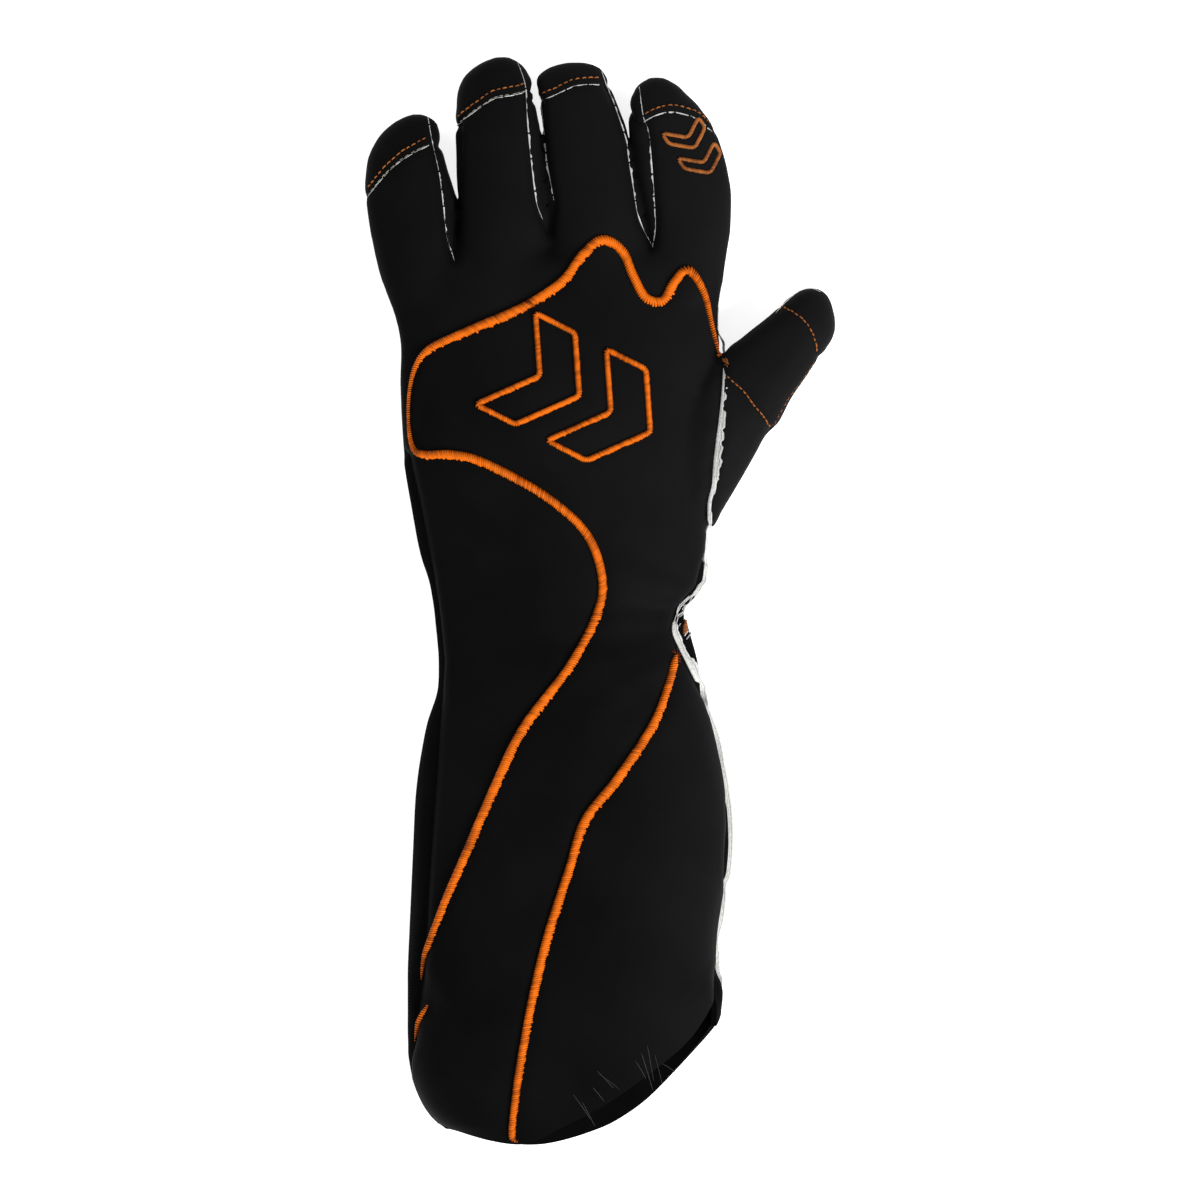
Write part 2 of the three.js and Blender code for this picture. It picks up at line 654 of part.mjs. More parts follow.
// Raised work on the back
const cordStep = 7.5;
const cordLift = seamGap + 0.1;
const cordProfile = [[-0.5, 0], [-0.3, 1], [0.3, 1], [0.5, 0]]; // across and up
const clothMesh = new THREE.Mesh(geometryOf(outside), new THREE.MeshBasicMaterial({ side: THREE.DoubleSide }));
clothMesh.updateMatrixWorld(true);
const down = new THREE.Vector3(0, 0, -1);
function clothBelow(x, y) {
  const ray = new THREE.Raycaster(new THREE.Vector3(x, y, far / 4), down);
  return ray.intersectObject(clothMesh).slice(0, 1);
}
function onCloth(x, y) {
  const [hit] = clothBelow(x, y);
  if (!hit) throw new Error("a cord's route leaves the cloth at " + x.toFixed(1) + ", " + y.toFixed(1));
  return hit;
}

// Rings of a raised cord, square to its route and to the cloth below it
function raisedRings(hits, width, height, closed) {
  const count = hits.length;
  const near = (i) => hits[closed ? (i + count) % count : THREE.MathUtils.clamp(i, 0, count - 1)];
  return hits.map((hit, i) => {
    const [before, after] = [near(i - 1), near(i + 1)];
    const into = hit.point.clone().sub(before.point).normalize();
    const outOf = after.point.clone().sub(hit.point).normalize();
    const tangent = into.add(outOf).normalize();
    const normal = [before, hit, after]
      .reduce((sum, h) => sum.add(h.face.normal), new THREE.Vector3())
      .normalize();
    const sideways = tangent.clone().cross(normal).normalize();
    const up = sideways.clone().cross(tangent).normalize();
    const corner = after === hit ? 1 : Math.max(tangent.dot(outOf), 0.45); // a mitre keeps the width
    return cordProfile.map(([across, rise]) =>
      hit.point
        .clone()
        .addScaledVector(sideways, (across * width) / corner)
        .addScaledVector(up, cordLift + rise * height),
    );
  });
}

const routeCurve = (route) =>
  new THREE.SplineCurve(
    route.map(([across, along]) => new THREE.Vector2(crosswise(across, along), lengthwise(along))),
  );
function cordOn(route) {
  const curve = routeCurve(route);
  const count = Math.max(2, Math.round(curve.getLength() / cordStep));
  const hits = curve.getSpacedPoints(count).map((p) => onCloth(p.x, p.y));
  return loft(raisedRings(hits, cordWidth, cordHeight, false)).subtract(clearOfCloth);
}

// One chevron of the emblem, a closed cord
function chevronCord(place) {
  const point = rad(emblemTurn);
  const rise = rad(emblemTurn + emblemSlant);
  const start = (place - (chevrons - 1) / 2) * chevronPitch - (chevronWidth + chevronPoint) / 2;
  const corners = [
    [0, 0], [chevronWidth, 0], [chevronWidth + chevronPoint, 0.5], [chevronWidth, 1], [0, 1], [chevronPoint, 0.5],
  ].map(([u, v]) => {
    const along = start + u;
    const up = (v - 0.5) * emblemHeight;
    return new THREE.Vector2(
      emblemPlace.across * palmWidth + along * Math.cos(point) + up * Math.cos(rise),
      emblemPlace.along * handLength + along * Math.sin(point) + up * Math.sin(rise),
    );
  });
  const hits = corners.flatMap((from, k) => {
    const to = corners[(k + 1) % corners.length];
    const count = Math.max(2, Math.round(from.distanceTo(to) / cordStep));
    return Array.from({ length: count }, (_, i) => from.clone().lerp(to, i / count));
  }).map((p) => onCloth(p.x, p.y));
  return loft(raisedRings(hits, emblemCordWidth, emblemCordHeight, true), true).subtract(clearOfCloth);
}

// The raw edge that stands out from the thumb-side seam, from the back panel's edge over the thumb down
// to the hem. It climbs onto the thumb where that lies under it.
function seamEdge(from, to) {
  const count = Math.round((from - to) / edgeStep);
  const ys = Array.from({ length: count + 1 }, (_, i) => from + ((to - from) * i) / count);
  const heights = ys.map((y) => {
    const below = [seamGap, edgeWidth].flatMap((out) => clothBelow(bodyAt("right", y) + out, y));
    return Math.max(seamAt(y), ...below.map((hit) => hit.point.z + seamGap));
  });
  const rings = ys.map((y, i) => {
    const near = heights.slice(Math.max(i - 1, 0), i + 2);
    const mean = near.reduce((sum, h) => sum + h, 0) / near.length;
    const height = Math.max(mean, heights[i]) + edgeThickness / 2;
    const width = edgeWidth * Math.min(1, 0.35 + (from - y) / palmThickness);
    const corners = [[-wall, -0.5], [width, -0.5], [width, 0.5], [-wall, 0.5]];
    return corners.map(([out, up]) => new THREE.Vector3(bodyAt("right", y) + out, y, height + up * edgeThickness));
  });
  return loft(rings);
}
const seamEdgePiece = seamEdge(edgeTop * handLength, edgeBottom * gauntletLength).subtract(clearOfCloth);

// The glove
const glove = new THREE.Group();
function addPiece(name, solid, material) {
  const mesh = new THREE.Mesh(geometryOf(whole(solid)), material);
  mesh.name = name;
  glove.add(mesh);
}
const palmSide = ["palm_panel", "thumb_underside"];
Object.entries(clothPieces).forEach(([name, solid]) =>
  addPiece(name, solid, palmSide.includes(name) ? palmBlack : clothBlack),
);
addPiece("white_seam_edge", seamEdgePiece, rawWhite);
addPiece("contour_cord", cordOn(contourRoute), threadOrange);
addPiece("gauntlet_cord", cordOn(gauntletCordRoute), threadOrange);
addPiece("hem_cord", cordOn(hemCordRoute), threadOrange);
for (let place = 0; place < chevrons; place++)
  addPiece("emblem_chevron_" + (place + 1), chevronCord(place), threadOrange);

// The origin is the middle of the glove's outline, on the surface that it lies on
const outline = new THREE.Box3().setFromObject(glove);
const middle = outline.getCenter(new THREE.Vector3());
glove.position.set(-middle.x, -middle.y, -outline.min.z);

export default glove;
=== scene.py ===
import json
import math
import random

import bmesh
import bpy
import numpy as np
from mathutils import Matrix, Vector
from mathutils.bvhtree import BVHTree
from mathutils.kdtree import KDTree

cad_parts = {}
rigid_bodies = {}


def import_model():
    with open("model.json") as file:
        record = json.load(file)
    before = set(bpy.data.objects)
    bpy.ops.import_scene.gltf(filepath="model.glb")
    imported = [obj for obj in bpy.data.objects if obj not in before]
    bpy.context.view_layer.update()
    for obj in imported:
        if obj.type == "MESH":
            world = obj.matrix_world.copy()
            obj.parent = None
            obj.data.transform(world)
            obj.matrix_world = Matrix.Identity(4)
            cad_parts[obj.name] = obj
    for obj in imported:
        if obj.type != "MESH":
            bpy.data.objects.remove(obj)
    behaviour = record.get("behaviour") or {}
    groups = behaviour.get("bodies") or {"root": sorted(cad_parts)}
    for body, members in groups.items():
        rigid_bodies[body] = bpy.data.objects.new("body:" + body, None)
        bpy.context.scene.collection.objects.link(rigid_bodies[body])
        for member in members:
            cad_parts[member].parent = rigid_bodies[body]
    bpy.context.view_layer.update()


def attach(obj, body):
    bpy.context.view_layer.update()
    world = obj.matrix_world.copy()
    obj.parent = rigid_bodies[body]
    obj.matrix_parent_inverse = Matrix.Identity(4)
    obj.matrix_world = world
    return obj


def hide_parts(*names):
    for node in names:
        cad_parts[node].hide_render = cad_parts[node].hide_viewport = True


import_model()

# A left-hand karting glove, palm down. Everything is shaped in millimetres with y = 0 at the wrist line,
# and each finished piece is then scaled to metres and moved to the frame's origin by settle().
mm = 0.001
middleOfOutline = (12.57, 2.75)  # the frame's origin, in mm from the middle of the wrist line

glove = {
    "handLength": 188.0, "gauntletLength": 182.0, "palmWidth": 108.0, "gauntletWidth": 108.0,
    "palmThickness": 29.0, "gauntletThickness": 46.0, "fingerThickness": 19.0, "thumbThickness": 23.0,
    "wall": 2.0, "seamShare": 0.4, "topRoundness": 2.5, "bottomRoundness": 3.0, "fingerRoundness": 2.3,
    "floorSink": 1.2,     # how far the undersides reach below the floor before they are laid flat on it
    "voxel": 1.2, "sectionStep": 2.5, "sectionCorners": 96, "digitCorners": 64,
    "smoothing": 10,      # rounds that take the voxels' steps away and keep the size
    "rootSmoothing": 30,  # and rounds where fingers and thumb meet the hand, which is between these y
    "roots": (84, 104, 118, 130),
}

# Cross-sections as shares of the sizes above: along, left, right, top
gauntletRows = [
    (-1.04, -0.29, 0.45, 1.0), (-0.985, -0.33, 0.463, 1.0), (-0.957, -0.396, 0.47, 1.0),
    (-0.933, -0.433, 0.475, 1.0), (-0.905, -0.459, 0.48, 1.0), (-0.868, -0.481, 0.485, 1.0),
    (-0.83, -0.49, 0.488, 1.0), (-0.79, -0.494, 0.489, 1.0), (-0.75, -0.494, 0.492, 1.0),
    (-0.71, -0.494, 0.497, 0.995), (-0.67, -0.494, 0.477, 0.99), (-0.6, -0.489, 0.48, 0.97),
    (-0.52, -0.483, 0.5, 0.95), (-0.44, -0.477, 0.513, 0.92), (-0.36, -0.471, 0.508, 0.88),
    (-0.31, -0.463, 0.499, 0.845), (-0.26, -0.45, 0.482, 0.8), (-0.205, -0.431, 0.46, 0.75),
    (-0.153, -0.4, 0.43, 0.69), (-0.1, -0.395, 0.42, 0.65), (-0.06, -0.399, 0.403, 0.61),
    (-0.025, -0.405, 0.385, 0.6),
]
palmRows = [
    (0.003, -0.41, 0.366, 0.93), (0.029, -0.417, 0.415, 0.94), (0.055, -0.426, 0.432, 0.95),
    (0.105, -0.455, 0.442, 0.98), (0.18, -0.48, 0.448, 1.0), (0.257, -0.502, 0.465, 1.0),
    (0.333, -0.514, 0.475, 0.98), (0.41, -0.52, 0.482, 0.93), (0.485, -0.52, 0.488, 0.86),
    (0.54, -0.545, 0.49, 0.79), (0.585, -0.57, 0.488, 0.74), (0.612, -0.555, 0.478, 0.71),
    (0.635, -0.52, 0.45, 0.66), (0.65, -0.46, 0.4, 0.5),
]

# Fingers and thumb, as the outline shows them: along the digit, its left edge and its right edge, in mm.
# A finger is measured along y; the thumb along its own direction from the wrist line's middle.
digits = {
    "little": [
        (105.0, -60.0, -37.5), (114.6, -63.3, -37.4), (120.8, -64.7, -37.2), (126.9, -65.7, -36.9),
        (133.0, -66.7, -36.6), (139.1, -67.4, -36.6), (142.2, -67.7, -37.5), (148.3, -67.7, -39.5),
        (154.4, -66.8, -41.2), (160.5, -63.8, -42.6), (163.6, -61.2, -42.9), (166.7, -57.2, -44.3),
        (168.9, -52.5, -48.0),
    ],
    "ring": [
        (105.0, -37.5, -5.0), (120.0, -37.2, -5.0), (128.0, -36.8, -5.0), (136.0, -36.1, -6.0),
        (143.0, -36.4, -7.1), (150.0, -36.7, -7.6), (157.5, -36.8, -7.6), (163.6, -37.1, -8.4),
        (169.7, -36.9, -9.7), (175.8, -36.6, -10.6), (178.9, -35.7, -11.2), (182.0, -34.0, -12.2),
        (185.0, -30.7, -13.9), (187.1, -27.0, -16.5), (188.5, -23.0, -19.5),
    ],
    "middle": [
        (105.0, -5.0, 30.0), (120.0, -5.0, 29.5), (128.0, -5.0, 28.3), (134.0, -5.4, 27.0),
        (143.0, -6.4, 24.8), (150.0, -6.8, 23.4), (157.5, -6.7, 22.2), (163.6, -7.4, 20.9),
        (169.7, -8.1, 18.7), (175.8, -8.9, 16.3), (178.9, -9.4, 15.3), (182.0, -8.9, 13.7),
        (185.0, -5.0, 11.4), (186.6, 0.5, 7.0),
    ],
    "index": [
        (105.0, 30.0, 52.9), (114.6, 29.8, 54.4), (120.8, 29.4, 55.1), (126.9, 28.6, 56.0),
        (133.0, 27.4, 56.4), (142.2, 25.2, 56.5), (148.3, 24.0, 55.6), (154.4, 22.9, 54.3),
        (160.5, 22.2, 52.3), (163.6, 21.9, 50.9), (169.7, 22.0, 47.0), (172.8, 22.3, 44.6),
        (175.8, 23.2, 41.4), (178.9, 25.0, 38.2), (181.5, 29.0, 33.5),
    ],
    "thumb": [
        (53.5, -22.0, 19.0), (61.1, -22.0, 17.6), (72.0, -21.0, 15.6), (82.7, -20.0, 13.4),
        (90.0, -19.3, 11.8), (93.6, -18.8, 12.1), (96.5, -18.3, 12.2), (104.9, -17.0, 10.1),
        (113.9, -15.7, 9.0), (121.8, -14.3, 7.8), (125.0, -13.9, 7.7), (128.6, -13.5, 7.6),
        (133.0, -12.9, 5.9), (136.6, -11.4, 2.4), (139.2, -8.9, -1.3), (140.6, -6.5, -4.0),
    ],
}
# at, top, lift: how high a digit's back and underside lie, in shares of its thickness
fingerHeights = [(0, 1.03, 0), (0.3, 1.05, 0.06), (0.5, 1.01, 0.1), (0.65, 0.97, 0.08), (0.8, 0.89, 0.03),
                 (1, 0.76, 0)]
thumbHeights = [(0, 1.0, 0), (0.36, 1.02, 0), (0.55, 0.97, 0.02), (0.72, 0.89, 0.03), (0.86, 0.82, 0.02),
                (1, 0.76, 0)]
tipRounding = {"finger": 16.0, "thumb": 13.0}
# The narrow gaps between fingers: y, the gap's middle, and how much wider each side is modelled at first,
# so that the voxel remesh keeps the gap open
fingerGaps = [
    [(136, -36.5, 0), (139, -36.5, 0.7), (142, -37.0, 1.1), (148, -38.2, 0.9), (154, -39.2, 0.4),
     (160, -39.8, 0)],
    [(158.5, -7.4, 0), (161.5, -7.7, 0.8), (164.5, -8.0, 1.1), (172.8, -9.2, 1.0), (178.9, -10.2, 0.7),
     (186, -11, 0)],
    [(156.5, 22.0, 0), (160.3, 21.9, 1.0), (166.5, 20.7, 0.9), (172.6, 19.8, 0.3), (176, 19.5, 0)],
]
thumbAxis = np.array([0.6607, 0.7507])
thumbSide = np.array([0.7507, -0.6607])

# Seams seen from above, in mm from the wrist line
seamLines = {
    "littleRight": [(-46.7, 168.0), (-45.3, 160.2), (-42.6, 147.6), (-40.9, 133.3), (-39.9, 126.2),
                    (-37.5, 118.7)],
    "ringLeft": [(-35.8, 175), (-35.8, 159.9), (-35.8, 146.3), (-36.1, 132.7), (-37.5, 118.7)],
    "ringRight": [(-16.1, 186.4), (-14.0, 180.6), (-13.3, 176.2), (-12.7, 164.6), (-11.6, 153.7),
                  (-10.3, 142.2), (-8.9, 136.1), (-4.8, 127.2)],
    "middleLeft": [(-8.2, 174.8), (-6.5, 158.2), (-5.9, 152.0), (-4.5, 144.2), (-3.5, 137.1), (-4.8, 127.2)],
    "middleRight": [(12.5, 183.3), (13.9, 179.2), (16.9, 171.8), (20.7, 160.2), (21.4, 154.8),
                    (23.1, 144.2), (25.1, 133.3), (29.9, 123.5)],
    "indexLeft": [(25.4, 178.2), (26.8, 168.0), (28.5, 162.9), (29.5, 153.7), (30.2, 144.2),
                  (30.9, 130.2), (29.9, 123.5)],
}
capSeams = {  # from the little finger's side to the thumb's
    "little": [(-67.1, 140.5), (-61.3, 147.6), (-55.2, 153.1), (-46.3, 158.2)],
    "ring": [(-36.5, 164.6), (-33.7, 167.3), (-26.6, 172.4), (-23.2, 174.1), (-16.1, 175.5), (-13.0, 176.9)],
    "middle": [(-7.9, 173.5), (-3.5, 175.2), (2.6, 178.0), (7.1, 178.8), (12.5, 178.8)],
    "index": [(26.8, 166.0), (28.8, 167.3), (32.9, 169.0), (37.3, 169.4), (42.8, 168.0), (46.2, 166.3),
              (49.9, 162.9)],
}
thumbSeams = {
    "cap": [(73.7, 103.4), (77.1, 101.7), (81.2, 98.7), (84.2, 93.9), (85.3, 90.5), (85.6, 87.1)],
    "sleeve": [(55.0, 80.0), (56.7, 78.3), (60.1, 75.2), (63.9, 70.4), (67.2, 66.4), (69.6, 62.6)],
}
sideSeam = [  # the back panel's thumb-side edge
    (52.6, 87.8), (53.0, 83.4), (52.3, 68.7), (51.6, 59.9), (50.9, 51.4), (50.2, 42.9), (48.9, 36.8),
    (48.6, 27.9), (47.9, 19.4), (45.2, 7.9), (39.0, 1.1), (36.7, -6.1), (38.7, -11.8), (42.8, -20.0),
    (47.5, -29.9), (51.6, -43.1), (54.0, -54.7), (54.6, -60.8), (55.2, -74.1), (54.0, -97.2),
    (51.8, -116.9), (51.4, -127.1),
]
littleSideSeam = [  # and its little-finger-side edge
    (-56.1, 70.0), (-53.1, 51.7), (-49.7, 36.8), (-46.3, 19.1), (-45.0, 11.6), (-42.9, -3.3), (-41.6, -16.9),
    (-42.3, -30.5), (-43.9, -57.7), (-46.0, -84.9), (-47.3, -105.3), (-48.7, -120.6), (-49.0, -127.4),
    (-51.1, -142.7), (-52.4, -151.2), (-52.4, -170),
]
# the hems, as shares of the gauntlet's width and length
backHem = [
    (-0.6, -0.945), (-0.43, -0.95), (-0.36, -0.964), (-0.231, -0.985), (-0.12, -0.99), (-0.004, -0.958),
    (0.119, -0.92), (0.245, -0.869), (0.368, -0.811), (0.434, -0.763), (0.481, -0.712), (0.6, -0.6),
]
palmHem = [
    (-0.6, -0.95), (-0.43, -0.955), (-0.36, -0.969), (-0.233, -0.992), (-0.111, -1.0), (-0.01, -0.992),
    (0.1185, -0.967), (0.198, -0.941), (0.257, -0.915), (0.305, -0.888), (0.387, -0.836), (0.465, -0.783),
    (0.49, -0.756), (0.502, -0.73), (0.512, -0.7), (0.6, -0.6),
]

# Dents (negative) and folds (positive) of the back: x, y, half length, half width, turn in degrees, height
softFolds = [
    (-21.6, -3.6, 34, 15.5, 90, -3.2),    # hollow beside the wrist
    (21.6, 11.3, 17, 5.2, 165, 0.9),      # folds that run into the pinch of the wrist
    (21.6, -9.1, 21, 5.4, 8, -1.1),
    (20.5, -25.5, 18, 5.5, 40, 1.0),
    (30.0, -16.0, 11, 2.6, 28, -0.5),
    (27.0, 2.5, 13, 2.4, -12, -0.4),
    (33.0, 15.0, 12, 3.0, -32, -0.4),
    (33.0, -30.0, 13, 3.2, 62, -0.5),
    (-10.8, -36.4, 32, 11, 20, -2.0),
    (8.0, -70.0, 46, 13, 72, -1.6),
    (30.0, -95.0, 40, 15, 98, 1.2),
    (-30.0, -80.0, 40, 9, 78, 1.0),
    (-49.7, -129.2, 11, 5.2, -50, -3.1),  # fold that the long cord dips behind at the hem
    (-10.0, 62.0, 34, 20, 20, 0.6),
]
# Low swells of padded cloth: height, wavelengths over tau along x and y, and where each starts
swells = [(0.3, 9.3, 14.1, 0.7), (0.25, 15.2, -11.7, 2.1), (0.16, 5.3, 7.9, 4.0), (0.12, -8.7, 4.4, 0)]

print("scene: sizes are set")


# Small helpers
def curveThrough(places, values, at):
    # a smooth value through the rows of a table
    places = np.asarray(places, float)
    values = np.asarray(values, float)
    slopes = np.empty_like(values)
    slopes[1:-1] = (values[2:] - values[:-2]) / (places[2:] - places[:-2])
    slopes[0] = (values[1] - values[0]) / (places[1] - places[0])
    slopes[-1] = (values[-1] - values[-2]) / (places[-1] - places[-2])
    i = np.clip(np.searchsorted(places, at, side="right") - 1, 0, len(places) - 2)
    span = places[i + 1] - places[i]
    t = np.clip((at - places[i]) / span, 0, 1)
    t2 = t * t
    t3 = t2 * t
    return ((2 * t3 - 3 * t2 + 1) * values[i] + (t3 - 2 * t2 + t) * span * slopes[i]
            + (3 * t2 - 2 * t3) * values[i + 1] + (t3 - t2) * span * slopes[i + 1])


def lineThrough(points, step):
    # a smooth line through points, in equal steps
    points = [np.asarray(p, float) for p in points]
    ends = [2 * points[0] - points[1], *points, 2 * points[-1] - points[-2]]
    t = np.linspace(0, 1, 12, endpoint=False)[:, None]
    pieces = []
    for a, b, c, d in zip(ends, ends[1:], ends[2:], ends[3:]):
        pieces.append(0.5 * (2 * b + (c - a) * t + (2 * a - 5 * b + 4 * c - d) * t * t
                             + (3 * b - a - 3 * c + d) * t * t * t))
    dense = np.vstack([*pieces, points[-1][None]])
    return evenSteps(dense, step)


def evenSteps(line, step):
    run = np.concatenate([[0], np.cumsum(np.linalg.norm(np.diff(line, axis=0), axis=1))])
    count = max(2, int(round(run[-1] / step)) + 1)
    at = np.linspace(0, run[-1], count)
    return np.column_stack([np.interp(at, run, line[:, k]) for k in range(line.shape[1])])


def superPower(value, power):
    return np.sign(value) * np.abs(value) ** (2 / power)


def unit(vectors):
    return vectors / np.maximum(np.linalg.norm(vectors, axis=-1, keepdims=True), 1e-9)


def smoothStep(value, low, high):
    t = np.clip((value - low) / (high - low), 0, 1)
    return t * t * (3 - 2 * t)


def readAll(items, what, width=3, kind=float):
    # one property of all vertices, edges or loops, as rows
    flat = np.empty(len(items) * width, kind)
    items.foreach_get(what, flat)
    return flat.reshape(-1, width)


def setPoints(mesh, points):
    mesh.vertices.foreach_set("co", np.ascontiguousarray(points, float).ravel())
    mesh.update()


def newObject(name, points, faces):
    mesh = bpy.data.meshes.new(name)
    mesh.from_pydata(np.asarray(points, float).tolist(), [], faces)
    mesh.update()
    piece = bpy.data.objects.new(name, mesh)
    bpy.context.scene.collection.objects.link(piece)
    return piece


def onlySelect(piece):
    for other in bpy.context.view_layer.objects:
        other.select_set(False)
    piece.select_set(True)
    bpy.context.view_layer.objects.active = piece


def settle(piece, material, node, smoothAngle=60):
    # metres in the frame, a material, and the CAD nodes that the piece stands for
    wristLine = Matrix.Translation((-middleOfOutline[0], -middleOfOutline[1], 0))
    piece.data.transform(Matrix.Scale(mm, 4) @ wristLine)
    piece.data.materials.clear()
    piece.data.materials.append(material)
    onlySelect(piece)
    bpy.ops.object.shade_smooth_by_angle(angle=math.radians(smoothAngle))
    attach(piece, "root")
    if node:
        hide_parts(node)
    return piece


# Materials
def hexColour(code):
    parts = [int(code[i:i + 2], 16) / 255 for i in (1, 3, 5)]
    return (*(c / 12.92 if c <= 0.04045 else ((c + 0.055) / 1.055) ** 2.4 for c in parts), 1.0)


def plug(tree, node, inputs):
    for name, value in inputs.items():
        if isinstance(value, bpy.types.NodeSocket):
            tree.links.new(value, node.inputs[name])
        else:
            node.inputs[name].default_value = value


def addNode(tree, kind, settings=None, inputs=None):
    node = tree.nodes.new(kind)
    for name, value in (settings or {}).items():
        setattr(node, name, value)
    plug(tree, node, inputs or {})
    return node


def newMaterial(name):
    material = bpy.data.materials.new(name)
    material.use_nodes = True
    tree = material.node_tree
    tree.nodes.clear()
    surface = addNode(tree, "ShaderNodeBsdfPrincipled")
    addNode(tree, "ShaderNodeOutputMaterial", {}, {"Surface": surface.outputs["BSDF"]})
    place = addNode(tree, "ShaderNodeTexCoord").outputs["Object"]
    return material, tree, surface, place


shellLook = {
    # worn is the pale colour, which both random blotches and the painted light below reach
    "colour": "#0a0a0b", "worn": "#161617", "roughness": (0.5, 0.62), "specular": 0.012,
    "paintedLight": (-0.05, 0.085),  # painted light: metres from the little finger's side of the hem to the index finger's tip, over which the cloth turns paler
    "paintedLightSlope": 0.27, "paintedLightShare": (-0.25, 0.45), "blotch": 38.0,
    "ribPitch": 0.7,      # mm between twill ribs; the real 0.3 mm is too fine to show
    "ribDepth": 0.05, "ribTurn": (12, 20, 38), "grainSize": 0.35,
}


def shellMaterial():
    # coated polyester twill, black and calendered smooth: soft and nearly matt, with painted light that makes
    # it a little paler towards the index finger and the thumb
    look = shellLook
    material, tree, surface, place = newMaterial("calendered_polyester_twill")
    cloud = addNode(tree, "ShaderNodeTexNoise", {},
                    {"Vector": place, "Scale": 1 / (look["blotch"] * mm), "Detail": 4.0, "Roughness": 0.55})
    axes = addNode(tree, "ShaderNodeSeparateXYZ", {}, {"Vector": place}).outputs
    # painted highlight: a slope across the cloth that makes it paler towards the index finger and the thumb
    along = addNode(tree, "ShaderNodeMath", {"operation": "MULTIPLY_ADD"},
                    {0: axes["Y"], 1: look["paintedLightSlope"], 2: axes["X"]})
    paintedLight = addNode(tree, "ShaderNodeMapRange", {"interpolation_type": "SMOOTHSTEP"},
                     {"Value": along.outputs["Value"], "From Min": look["paintedLight"][0],
                      "From Max": look["paintedLight"][1], "To Min": look["paintedLightShare"][0],
                      "To Max": look["paintedLightShare"][1]})
    share = addNode(tree, "ShaderNodeMath", {"operation": "ADD", "use_clamp": True},
                    {0: cloud.outputs["Fac"], 1: paintedLight.outputs["Result"]})
    colour = addNode(tree, "ShaderNodeMix", {"data_type": "RGBA"},
                     {0: share.outputs["Value"], 6: hexColour(look["colour"]), 7: hexColour(look["worn"])})
    rough = addNode(tree, "ShaderNodeMapRange", {},
                    {"Value": cloud.outputs["Fac"], "From Min": 0.3, "From Max": 0.7,
                     "To Min": look["roughness"][0], "To Max": look["roughness"][1]})
    turned = addNode(tree, "ShaderNodeMapping", {},
                     {"Vector": place, "Rotation": [math.radians(turn) for turn in look["ribTurn"]]})
    # a wave band repeats every 1/20 of its scale, so a pitch in metres gives the scale
    ribs = addNode(tree, "ShaderNodeTexWave", {"wave_profile": "SIN"},
                   {"Vector": turned.outputs["Vector"], "Distortion": 0.6, "Detail": 1.0,
                    "Scale": 1 / (20 * look["ribPitch"] * mm) * math.tau / 2})
    grain = addNode(tree, "ShaderNodeTexNoise", {},
                    {"Vector": place, "Scale": 1 / (look["grainSize"] * mm), "Detail": 2.0})
    both = addNode(tree, "ShaderNodeMath", {"operation": "MULTIPLY_ADD"},
                   {0: grain.outputs["Fac"], 1: 0.8, 2: ribs.outputs["Fac"]})
    bump = addNode(tree, "ShaderNodeBump", {},
                   {"Strength": 0.2, "Distance": look["ribDepth"] * mm, "Height": both.outputs["Value"]})
    plug(tree, surface, {"Base Color": colour.outputs[2], "Roughness": rough.outputs["Result"],
                         "Specular IOR Level": look["specular"], "Normal": bump.outputs["Normal"]})
    return material


palmLook = {"colour": "#080809", "nap": "#131314", "roughness": 0.9, "specular": 0.01,
            "napSize": 0.5, "napDepth": 0.15, "blotch": 14.0}


def palmMaterial():
    # black split suede, brushed: matter and deeper black than the shell, with a short uneven nap
    look = palmLook
    material, tree, surface, place = newMaterial("brushed_suede_black")
    nap = addNode(tree, "ShaderNodeTexNoise", {},
                  {"Vector": place, "Scale": 1 / (look["napSize"] * mm), "Detail": 3.0, "Roughness": 0.7})
    cloud = addNode(tree, "ShaderNodeTexNoise", {},
                    {"Vector": place, "Scale": 1 / (look["blotch"] * mm), "Detail": 2.0})
    share = addNode(tree, "ShaderNodeMath", {"operation": "MULTIPLY"},
                    {0: nap.outputs["Fac"], 1: cloud.outputs["Fac"]})
    colour = addNode(tree, "ShaderNodeMix", {"data_type": "RGBA"},
                     {0: share.outputs["Value"], 6: hexColour(look["colour"]), 7: hexColour(look["nap"])})
    bump = addNode(tree, "ShaderNodeBump", {},
                   {"Strength": 0.5, "Distance": look["napDepth"] * mm, "Height": nap.outputs["Fac"]})
    plug(tree, surface, {"Base Color": colour.outputs[2], "Roughness": look["roughness"],
                         "Specular IOR Level": look["specular"], "Normal": bump.outputs["Normal"]})
    return material


threadLook = {"specular": 0.1, "wornPatch": 9.0, "strandShare": 0.9, "range": (0.35, 1.35),
              "fibre": 0.25, "fibreDepth": 0.08}


